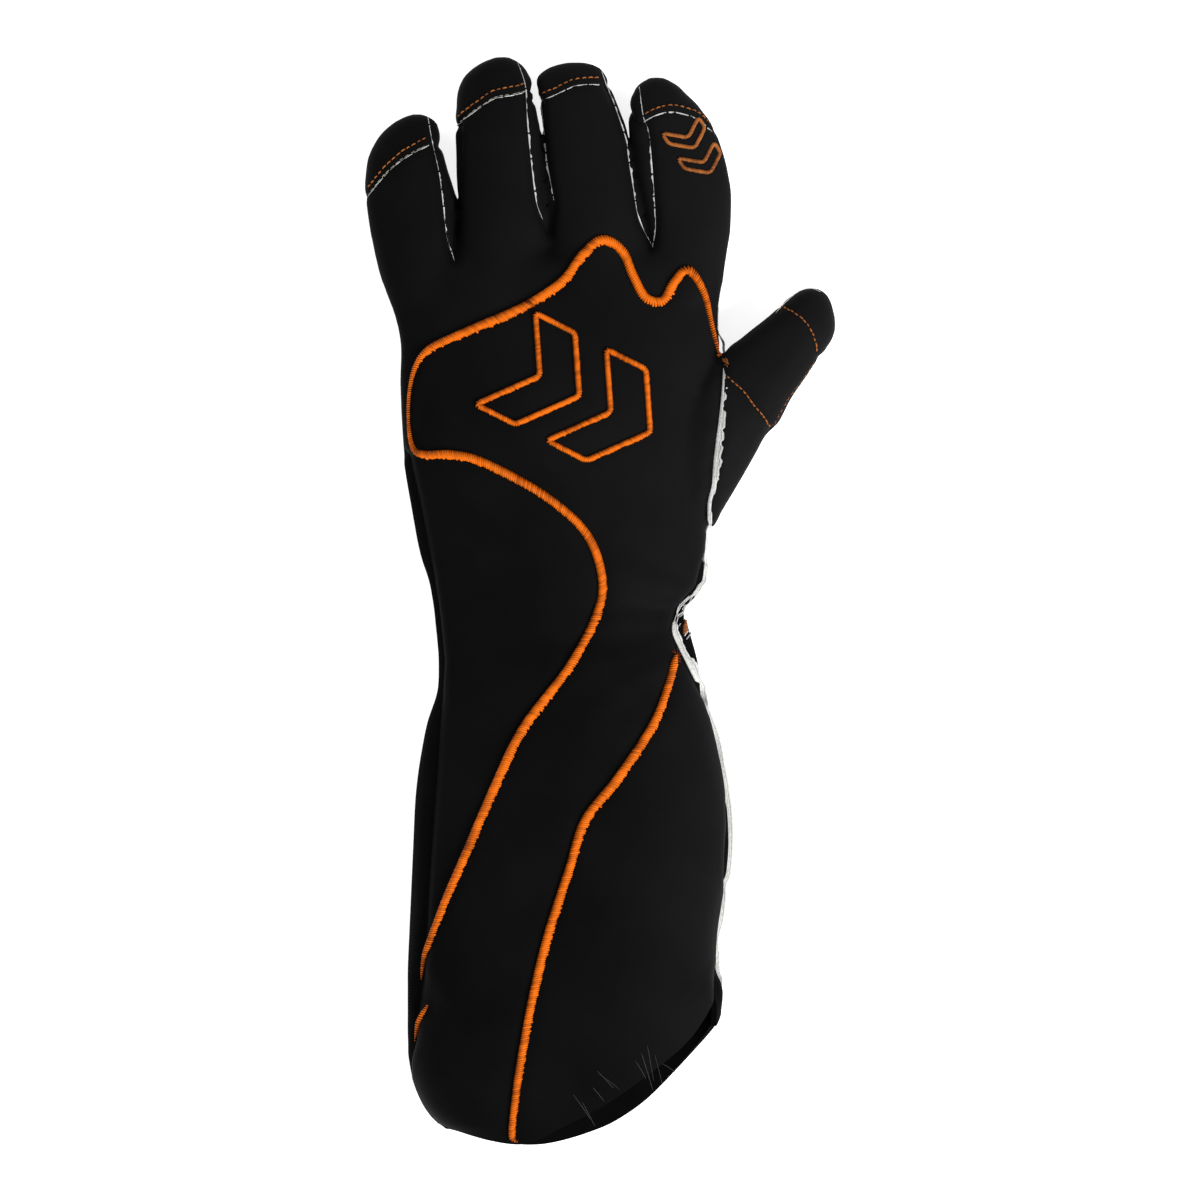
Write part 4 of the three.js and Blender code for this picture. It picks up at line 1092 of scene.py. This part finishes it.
def tubes(name, paths, ups, radii, sides, strands, paintedShade=0.3):
    # many closed tubes in one mesh: paths is (tube, step, 3); strands is the tone of each tube or step,
    # and the last argument paints light and shade on each thread: its top paler than its flanks and underside
    paths = np.asarray(paths, float)
    many, steps = paths.shape[:2]
    along = unit(np.gradient(paths, axis=1))
    ups = np.broadcast_to(ups, paths.shape)
    across = unit(np.cross(along, ups))
    up = np.cross(across, along)
    angle = np.linspace(0, math.tau, sides, endpoint=False)
    ring = (across[:, :, None] * np.cos(angle)[None, None, :, None]
            + up[:, :, None] * np.sin(angle)[None, None, :, None])
    points = paths[:, :, None] + ring * np.broadcast_to(radii, (many, steps))[:, :, None, None]
    one = []
    for s in range(steps - 1):
        for c in range(sides):
            n = (c + 1) % sides
            one.append((s * sides + c, s * sides + n, (s + 1) * sides + n, (s + 1) * sides + c))
    one.append(tuple(range(sides))[::-1])
    one.append(tuple((steps - 1) * sides + c for c in range(sides)))
    faces = [tuple(i + k * steps * sides for i in face) for k in range(many) for face in one]
    piece = newObject(name, points.reshape(-1, 3), faces)
    fixNormals(piece)
    tones = np.asarray(strands, float).reshape(many, -1) * np.ones((1, steps))
    # painted light: the tone rises with the height of each corner around the tube, so tops are paler and
    # undersides darker
    setTone(piece, (tones[:, :, None] + paintedShade * ring[..., 2]).ravel())
    return piece


def setTone(piece, values):
    tone = piece.data.attributes.new("toneAndShade", "FLOAT", "POINT")
    tone.data.foreach_set("value", np.ascontiguousarray(values, np.float32))


def widthsAlong(name, line):
    # the share of a cord's width at every point of its line
    if name not in cordWidths:
        return np.ones(len(line))
    table = np.array(cordWidths[name])
    at = [int(np.argmin(np.linalg.norm(line - place, axis=1))) for place in table[:, :2]]
    return np.interp(np.arange(len(line)), at, table[:, 2])


def slowNoise(dice, run, reach):
    # a smooth random row: one knot every few steps
    knots = [dice.uniform(-1, 1) for _ in range(0, run + 2 * reach, reach)]
    return np.interp(np.arange(run), np.arange(len(knots)) * reach, knots)


def satinCord(name, line, look, seed, closed=False, material=orangeSatin, node=None):
    # a padded core with a close row of slanted threads over it
    look = cordLooks[look]
    dice = random.Random(seed)
    line = evenSteps(line, look["pitch"])
    spots, normals = onSkin(line)
    share = widthsAlong(name, line)
    run = len(spots)
    if closed:
        run -= 1
        spots, normals, share = spots[:-1], normals[:-1], share[:-1]
        along = unit(np.roll(spots, -1, axis=0) - np.roll(spots, 1, axis=0))
    else:
        along = unit(np.gradient(spots, axis=0))
    side = unit(np.cross(along, normals))
    up = np.cross(side, along)
    ends = np.minimum(np.arange(run), np.arange(run)[::-1]) * look["pitch"]
    taper = share * (1 if closed else 0.5 + 0.5 * smoothStep(ends, 0, 2.5))
    half = look["width"] / 2 * taper * (1 + 0.05 * slowNoise(dice, run, 9))
    rise = look["height"] * np.sqrt(taper) * (1 + 0.04 * slowNoise(dice, run, 7))
    slant = look["slant"] * taper * (1 + 0.3 * slowNoise(dice, run, 5))
    nap = side @ napSide
    tear = np.clip([dice.gauss(0.1, 0.9) for _ in range(run)], -1.2, 1.8) * look["ragged"]
    across = np.sin(np.linspace(-math.pi / 2, math.pi / 2, 9))[None, :]
    reach = 1 + np.where(across * nap[:, None] > 0, np.abs(across * nap[:, None]) * tear[:, None], 0)
    # on the inside of a sharp corner the threads are shorter
    turn = (np.roll(along, -1, axis=0) - np.roll(along, 1, axis=0)) / (2 * look["pitch"])
    bend = (turn * side).sum(axis=1)[:, None]
    inside = np.clip(0.8 / (np.abs(bend) * half[:, None] + 1e-6), 0.2, 1)
    if closed:
        reach = reach * np.where(across * bend > 0, inside, 1)
    lift = np.sqrt(np.clip(1 - np.abs(across) ** 2.4, 0, 1)) - 0.25 * (np.abs(across) > 0.98)
    paths = (spots[:, None] + side[:, None] * (across * half[:, None] * reach)[:, :, None]
             + up[:, None] * (lift * rise[:, None])[:, :, None]
             + along[:, None] * (across * slant[:, None])[:, :, None])
    tone = satinTone["middle"] + satinTone["slow"] * slowNoise(dice, run, 14)
    tone += [dice.uniform(-satinTone["thread"], satinTone["thread"]) for _ in range(run)]
    for spot in wornSpots:
        away = np.linalg.norm(spots[:, :2] - spot, axis=1) / satinTone["wornReach"]
        tone -= satinTone["worn"] * np.exp(-away ** 2)
    # painted shade: the cord's side towards the hem and the thumb is paler, the other side darker
    tone = tone[:, None] + satinTone["side"] * across * nap[:, None]
    radius = look["pitch"] * 0.55 * np.sqrt(taper)[:, None] * np.ones((1, 9))
    # each thread gets a painted highlight on its top and painted shade on its flanks and underside
    threads = tubes(name + "_satin", paths, along[:, None], radius, 6, tone, satinTone["top"])
    # the underlay closes the gaps between the threads
    profile = [(-0.86, -0.3), (-0.8, 0.4), (-0.45, 0.8), (0, 0.92), (0.45, 0.8), (0.8, 0.4), (0.86, -0.3)]
    rings = np.array([[spots[i] + side[i] * a * half[i] + up[i] * b * rise[i] for a, b in profile]
                      for i in range(run)])
    points, faces = skinOver(rings)
    if closed:
        count = len(profile)
        faces = [f for f in faces if len(f) == 4]
        for c in range(count):
            n = (c + 1) % count
            faces.append(((run - 1) * count + c, (run - 1) * count + n, n, c))
        points = points[:-2]
    core = newObject(name + "_core", points, faces)
    fixNormals(core)
    setTone(core, np.zeros(len(core.data.vertices)))
    settle(core, orangeCore, None)
    settle(threads, material, node)


for number, (name, (line, look)) in enumerate(cordLines.items()):
    onTip = look == "fine"
    satinCord(name, line, look, number + 1, closed=look != "wide",
              material=stitchOrange if onTip else orangeSatin, node=None if onTip else name)
print("scene: the orange cords are embroidered")


stitch = {"length": 1.35, "pitch": 2.15, "radius": 0.24, "bow": 0.3}


def stitchRow(name, line, material, seed, look=stitch, spread=0.12, lift=0.05):
    # single dashes of sewing thread that dive into the cloth at both ends
    dice = random.Random(seed)
    spots, normals = onSkin(evenSteps(np.asarray(line, float), 0.2), lift)
    run = np.concatenate([[0], np.cumsum(np.linalg.norm(np.diff(spots, axis=0), axis=1))])
    starts = np.arange(look["pitch"] * 0.3, run[-1] - look["length"], look["pitch"])
    paths = []
    ups = []
    for start in starts:
        length = look["length"] * (1 + dice.uniform(-0.2, 0.2))
        share = np.linspace(0, 1, 6)
        at = start + dice.uniform(-spread, spread) + share * length
        path = np.column_stack([np.interp(at, run, spots[:, k]) for k in range(3)])
        normal = unit(np.column_stack([np.interp(at, run, normals[:, k]) for k in range(3)]))
        bow = (np.sin(share * math.pi) * 1.3 - 0.35)[:, None]
        side = unit(np.cross(path[-1] - path[0], normal[2])) * dice.uniform(-0.12, 0.12)
        paths.append(path + normal * bow * look["bow"] + side)
        ups.append(normal)
    radius = look["radius"] * np.array([0.55, 0.95, 1, 1, 0.95, 0.55])
    tones = [dice.random() for _ in starts]
    # the tubes paint light and shade on each stitch: paler tops, darker flanks
    row = tubes(name, paths, np.array(ups), radius, 6, tones)
    return settle(row, material, None)


def looseThreads(name, lines, radius, material, seed, lift):
    # short loose threads that lie on the cloth, each through a few points seen from above
    dice = random.Random(seed)
    paths = []
    ups = []
    for line in lines:
        line = lineThrough(line, 0.2)
        line = line[np.linspace(0, len(line) - 1, 12).astype(int)]
        spots, normals = onSkin(line, lift)
        paths.append(spots)
        ups.append(normals)
    taper = radius * np.sin(np.linspace(0.25, math.pi - 0.25, 12)) ** 0.4
    # the tubes paint light and shade on each thread: paler tops, darker flanks
    piece = tubes(name, paths, np.array(ups), taper, 6, [dice.random() for _ in lines])
    return settle(piece, material, None)


def tornRow(dice, run, step, rough):
    # widths of a torn edge: short tufts of uneven reach on a slow swell
    out = np.zeros(run)
    i = 0
    while i < run:
        size = max(1, int(dice.uniform(0.6, 2.4) / step))
        out[i:i + size] = dice.uniform(-1, 1)
        i += size
    out[1:-1] = (out[:-2] + 2 * out[1:-1] + out[2:]) / 4
    return 1 + rough * (out + 0.6 * slowNoise(dice, run, max(2, int(6 / step))))


def edgeStrip(name, spots, side, up, wide, thick, node=None, runs=None):
    # a thin closed strip that starts at its line and reaches sideways by its widths, whole or in runs:
    # sideways, height and painted shade of its section, darker underneath, in its groove and at its outer
    # edge
    section = [(-0.12, -0.5, 0.4), (0.0, 0.7, 0.9), (0.3, 1.0, 1.0), (0.6, 0.95, 1.0), (0.68, 0.7, 0.3),
               (0.76, 0.85, 1.0), (0.94, 0.4, 0.8), (1.0, 0.0, 0.35), (0.8, -0.5, 0.3)]
    points = []
    faces = []
    tones = []
    for start, stop in runs or [(0, len(spots))]:
        rings = np.array([[spots[i] + side[i] * a * wide[i] + up[i] * b * thick for a, b, _ in section]
                          for i in range(start, stop)])
        some, over = skinOver(rings)
        faces += [tuple(i + len(points) for i in face) for face in over]
        points += some
        # painted shade: each section point keeps its paleness all along the strip
        tones += [tone for _ in range(start, stop) for _, _, tone in section] + [0.8, 0.8]
    strip = newObject(name, points, faces)
    fixNormals(strip)
    setTone(strip, np.array(tones))
    return settle(strip, rawEdge, node, 40)


def raggedEdge(name, line, widths, thick, seed, rough=0.45, step=0.3, outward=1, breaks=None):
    # a torn pale edge that lies on the cloth along a line; breaks gives the usual run and gap in mm
    dice = random.Random(seed)
    spots, normals = onSkin(evenSteps(np.asarray(line, float), step))
    side = unit(np.cross(unit(np.gradient(spots, axis=0)), normals)) * outward
    run = len(spots)
    wide = np.interp(np.linspace(0, 1, run), np.linspace(0, 1, len(widths)), widths)
    wide = wide * np.clip(tornRow(dice, run, step, rough), 0.15, 2.2)
    runs = [(0, run)]
    if breaks:
        runs = []
        start = 0
        while start < run - 3:
            stop = min(run, start + max(3, int(breaks[0] * dice.uniform(0.3, 1.7) / step)))
            runs.append((start, stop))
            start = stop + max(1, int(breaks[1] * dice.uniform(0.4, 1.6) / step))
    return edgeStrip(name, spots, side, normals, wide, thick, None, runs)


seamEnds = {"ringRight": 133.0, "middleLeft": 139.5}  # where a seam's pale edge fades out, in mm
for number, (name, seam) in enumerate(seamLines.items()):
    if name == "ringLeft":  # it is in the shadow of the gap
        continue
    side = -1 if name.endswith("Right") else 1
    line = lineThrough(seam, 0.5)
    line = line[line[:, 1] > seamEnds.get(name, 0)]
    raggedEdge("finger_seam_edge_" + name, line, [0.15, 0.2, 0.3, 0.45, 0.45, 0.3, 0.2], 0.2,
               20 + number, rough=0.9, outward=side, breaks=(9.0, 0.4))
capRows = {  # how far each row lies from the cap's edge line, towards the tip, and the pale edge's width
    "little": {"orange": 3.1, "pale": 0.4, "edge": 0.16},
    "ring": {"orange": 3.0, "pale": 0.4, "edge": 0.18},
    "middle": {"orange": 2.4, "pale": None, "edge": 0.26},
    "index": {"orange": 2.4, "pale": None, "edge": 0.28},
}
for number, (name, seam) in enumerate(capSeams.items()):
    edge = lineThrough(seam, 0.5)
    rows = capRows[name]
    stitchRow("cap_stitches_" + name, edge + (0, rows["orange"]), stitchOrange, 50 + number)
    if rows["pale"]:
        stitchRow("cap_edge_stitches_" + name, edge + (0, rows["pale"]), stitchWhite, 60 + number,
                  {**stitch, "radius": 0.15, "length": 1.5}, spread=0.3)
    raggedEdge("cap_edge_" + name, edge + (0, 0.1), [0.15, *[rows["edge"]] * 3, 0.3], 0.2,
               40 + number, rough=0.8, breaks=(6.0, 0.5))
for number, (name, seam) in enumerate(thumbSeams.items()):
    stitchRow("thumb_stitches_" + name, lineThrough(seam, 0.5), stitchOrange, 90 + number,
              {**stitch, "pitch": 1.85, "radius": 0.25}, lift=0.15)
thumbEdgeRow = [(84.9, 84.9), (80.2, 78.2), (75.6, 71.8), (72.2, 65.6), (71.0, 63.0)]
stitchRow("thumb_stitches_side", lineThrough(thumbEdgeRow, 0.5), stitchOrange, 93,
          {**stitch, "radius": 0.12, "pitch": 2.4})
raggedEdge("thumb_edge_side", lineThrough([(71.8, 101.2), (73.6, 103.2), (75.6, 105.2), (78.2, 107.6)], 0.4),
           [0.3, 0.8, 0.7, 0.3], 0.12, 94, outward=-1)
raggedEdge("thumb_edge_tip", lineThrough([(79.2, 108.4), (82.0, 109.4), (84.6, 109.4), (87.0, 108.4)], 0.4),
           [0.4, 0.7, 0.7, 0.3], 0.12, 95, outward=-1)

# The raw edge that stands out of the thumb-side seam: y in mm, width in mm, roughness
sideBand = [
    (103, 0.2, 0.15), (88.5, 0.25, 0.2), (86, 0.35, 0.3), (80, 0.6, 0.4), (72, 0.9, 0.42),
    (60, 1.15, 0.42), (50, 1.4, 0.4), (42, 1.25, 0.3), (34, 0.9, 0.2), (20, 0.9, 0.08), (9, 1.5, 0.1),
    (6.5, 1.2, 0.15), (5.0, 0.3, 0.1), (-3.2, 0.3, 0.1), (-4.6, 1.5, 0.15), (-8, 2.0, 0.12), (-12, 1.8, 0.12),
    (-16.6, 2.0, 0.15), (-17.4, 3.1, 0.1), (-20, 2.8, 0.1), (-26, 2.2, 0.08), (-32, 1.8, 0.05),
    (-45, 1.7, 0.04), (-60, 1.8, 0.04), (-90, 1.7, 0.03), (-110, 1.7, 0.04), (-117, 1.5, 0.08),
    (-122, 1.3, 0.15), (-125.5, 1.0, 0.15), (-127.3, 0.3, 0.1),
]
bandTop = [(52.7, 103.0), (52.6, 98.0), (52.5, 92.0)]
bandLook = {
    "step": 0.35, "inset": 0.35, "thickness": 0.45,
    "ply": 0.3, "plyShare": 0.5, "plyRise": 0.6, "plyRoughness": 0.12,
    "handFrom": 14,          # y from which it lies on the hand's back
    "pinchFrom": -34,        # and from which it may lie on the cloth beside the pinch
    "gauntletFrom": -24,     # below it the height along the gauntlet's side changes slowly
    "slowReach": 36,         # steps to each side that the height is averaged over
    "smoothing": (16, 12),   # rounds for its place and its slope
}


def bandSpot(x, y):
    # on the hand's back and at the pinch the edge lies on the cloth; down the gauntlet it stands out of
    # its side
    above = surface.ray_cast(Vector((x, y, 200)), Vector((0, 0, -1)))[0]
    if y > bandLook["handFrom"]:
        return np.array(above or surface.find_nearest(Vector((x, y, 12)))[0])
    hits = [sideSpot(y, height) for height in range(3, 30, 2)]
    edge = max((hit for hit in hits if hit), key=lambda hit: hit.x)
    if y > bandLook["pinchFrom"] and above and x < edge.x - 0.8:
        return np.array(above)
    return np.array(edge)


def sideSpot(y, height):
    return surface.ray_cast(Vector((120, y, height)), Vector((-1, 0, 0)))[0]


def evenOut(values, rounds):
    for _ in range(rounds):
        values[1:-1] = (values[:-2] + 2 * values[1:-1] + values[2:]) / 4


def makeSideBand():
    look = bandLook
    line = evenSteps(lineThrough(bandTop + sideSeam, 0.4), look["step"])
    dice = random.Random(80)
    spots = np.array([bandSpot(x, y) for x, y in line])
    padded = np.pad(spots[:, 2], look["slowReach"], mode="edge")
    slow = np.convolve(padded, np.hanning(2 * look["slowReach"] + 1) / look["slowReach"], mode="valid")
    for number in np.flatnonzero(spots[:, 1] < look["gauntletFrom"]):
        y = spots[number, 1]
        hit = sideSpot(y, slow[number])
        if hit:
            share = smoothStep(look["gauntletFrom"] - y, 0, 12)
            spots[number] = (1 - share) * spots[number] + share * np.array(hit)
    evenOut(spots, look["smoothing"][0])
    ys = spots[:, 1]
    table = np.array(sideBand)[::-1]
    wide, rough = (np.interp(ys, table[:, 0], table[:, k]) for k in (1, 2))
    along = unit(np.gradient(spots, axis=0) * (1, 1, 0))
    side = np.column_stack([-along[:, 1], along[:, 0], np.zeros(len(along))])
    # beside the thumb it rests on the cloth that rises there
    outer = onSkin((spots + side * wide[:, None])[:, :2])[0]
    slope = np.clip((outer[:, 2] + 0.5 - spots[:, 2]) / wide, -1.0, 0.8)
    evenOut(slope, look["smoothing"][1])
    onHand = smoothStep(ys, 10, 20) * (1 - smoothStep(ys, 90, 96))
    side[:, 2] = slope * onHand - 0.1 * (1 - onHand)
    up = unit(np.cross(side, along) * np.sign(np.cross(side, along)[:, 2:]))
    spots[:, 0] += onHand * (0.4 + 1.1 * smoothStep(ys, 45, 78))
    inset = look["inset"] * np.clip(wide, 0.2, 1)
    spots = spots - side * inset[:, None]
    run = len(spots)
    torn = np.clip(tornRow(dice, run, look["step"], rough), 0.3, 1.8)
    edgeStrip("white_seam_edge_band", spots + up * 0.1, side, up, (wide + inset) * torn,
              look["thickness"], "white_seam_edge")
    over = np.clip(tornRow(dice, run, look["step"], look["plyRoughness"]), 0.5, 1.5)
    edgeStrip("white_seam_edge_ply", spots + up * look["plyRise"], side, up,
              (wide * look["plyShare"] + inset) * over, look["ply"])


makeSideBand()
looseThreads("wrist_loop_threads", [
    [(45.4, 8.2), (43.4, 4.2), (42.0, 1.2), (41.0, -1.2), (39.6, -3.6), (38.6, -5.4)],
    [(44.6, 8.0), (42.4, 4.0), (41.4, 1.4), (40.4, -0.6), (38.8, -2.4)],
    [(43.0, 5.6), (40.6, 3.9), (38.8, 2.3), (37.9, 0.0), (38.2, -2.6), (37.6, -5.0)],
    [(42.0, 5.4), (39.8, 3.4), (38.2, 1.6), (37.6, -0.8), (38.0, -2.8)],
    [(38.2, -1.9), (39.6, -0.6), (41.0, 0.3), (42.0, 1.8)],
    [(38.6, 2.6), (39.9, 2.2), (41.2, 2.4)],
    [(41.0, -9.8), (42.0, -8.4), (43.0, -7.2)], [(40.4, -8.6), (41.0, -7.6), (41.6, -7.0)],
], 0.24, rawEdge, 81, lift=0.5)
looseThreads("wrist_frayed_end", [
    [(37.6, -16.0), (37.4, -14.4), (36.8, -13.2)], [(37.8, -16.0), (38.0, -14.2), (37.9, -12.8)],
    [(37.9, -16.0), (38.6, -14.6), (38.8, -13.4)], [(38.0, -16.2), (38.8, -15.2), (39.3, -14.8)],
    [(38.0, -16.6), (38.6, -16.3), (39.2, -16.7)], [(38.2, -17.4), (38.7, -17.2), (39.1, -17.6)],
    [(37.6, -15.6), (38.2, -14.9), (38.7, -14.5)], [(37.4, -15.0), (36.9, -14.3), (36.2, -13.8)],
], 0.13, orangeCore, 82, lift=0.4)
looseThreads("thumb_crotch_tack", [
    [(53.9, 85.4), (54.6, 84.9), (55.2, 84.9)], [(53.9, 84.7), (54.8, 84.3), (55.8, 83.6)],
    [(54.5, 83.5), (55.1, 83.2), (55.5, 82.6)], [(54.9, 85.5), (55.4, 84.7), (55.5, 83.9)],
], 0.24, stitchOrange, 83, lift=0.4)
looseThreads("contour_cord_knot", [
    [(51.6, 88.0), (52.6, 87.2), (53.2, 86.2)], [(51.6, 86.8), (52.4, 86.4), (53.2, 86.6)],
    [(52.0, 85.8), (52.4, 86.6), (52.3, 87.8)],
], 0.45, orangeSatin, 84, lift=0.5)
satinCord("wrist_patch", lineThrough([(40.9, -3.4), (41.0, -5.4), (40.7, -7.6)], 0.4), "patch", 85,
          material=stitchOrange)
lintHairs = [  # x, y, length and turn in degrees
    (11.0, -155.5, 8.0, -46), (14.0, -158.0, 6.0, -40), (26.0, -149.5, 13.0, -73), (28.0, -147.0, 12.0, -80),
    (30.5, -150.0, 12.0, -76), (33.0, -153.0, 7.0, -35), (24.0, -152.0, 7.0, -60), (3.0, -163.5, 10.0, -55),
    (6.0, -166.0, 9.0, -62), (9.5, -161.0, 6.0, -50),
]


def lintLine(x, y, length, turn):
    # a hair with a slight bend in its middle
    end, bend = math.radians(turn), math.radians(turn + 4)
    return [(x, y), (x + length * 0.5 * math.cos(end), y + length * 0.5 * math.sin(bend)),
            (x + length * math.cos(end), y + length * math.sin(end))]


looseThreads("hem_lint", [lintLine(*hair) for hair in lintHairs], 0.06, lint, 86, lift=0.05)
print("scene: seams and stitches are sewn")


# The skin was only the pattern for the pieces
bm.free()
bpy.data.objects.remove(skin)

# Stage, light and camera
studio = {
    "cameraHeight": 5.0, "frameWidth": 0.408, "aim": (-0.0006, 0.0009), "aimHeight": 0.012,
    "floor": "#f4f4f4", "world": 0.35, "key": 80.0, "fill": 14.0, "glow": 0.8,
}


def makeStage():
    bpy.ops.mesh.primitive_plane_add(size=40, location=(0, 0, -0.0005))
    floor = bpy.context.active_object
    floor.name = "pale_floor"
    material = bpy.data.materials.new("pale_paper")
    material.use_nodes = True
    surface = material.node_tree.nodes["Principled BSDF"]
    surface.inputs["Base Color"].default_value = hexColour(studio["floor"])
    surface.inputs["Roughness"].default_value = 0.95
    surface.inputs["Specular IOR Level"].default_value = 0.0
    surface.inputs["Emission Color"].default_value = (1, 1, 1, 1)
    surface.inputs["Emission Strength"].default_value = studio["glow"]
    floor.data.materials.append(material)


def addLight(name, place, size, power):
    light = bpy.data.lights.new(name, "AREA")
    light.shape = "RECTANGLE"
    light.size, light.size_y = size
    light.energy = power
    lamp = bpy.data.objects.new(name, light)
    bpy.context.scene.collection.objects.link(lamp)
    lamp.location = place
    lamp.rotation_euler = (-Vector(place)).to_track_quat("-Z", "Y").to_euler()


def makeCamera():
    data = bpy.data.cameras.new("camera")
    data.sensor_width = 36
    data.lens = data.sensor_width * (studio["cameraHeight"] - studio["aimHeight"]) / studio["frameWidth"]
    data.clip_end = 100
    camera = bpy.data.objects.new("camera", data)
    bpy.context.scene.collection.objects.link(camera)
    camera.location = (*studio["aim"], studio["cameraHeight"])
    bpy.context.scene.camera = camera


makeStage()
addLight("soft_key", (1.5, -1.2, 1.6), (1.6, 1.2), studio["key"])
addLight("soft_fill", (-1.6, 1.2, 1.2), (1.4, 1.4), studio["fill"])
makeCamera()
world = bpy.data.worlds.new("studio")
world.use_nodes = True
world.node_tree.nodes["Background"].inputs["Color"].default_value = (1, 1, 1, 1)
world.node_tree.nodes["Background"].inputs["Strength"].default_value = studio["world"]
bpy.context.scene.world = world
bpy.context.scene.view_settings.view_transform = "Standard"
print("scene: stage, lights and camera are set")
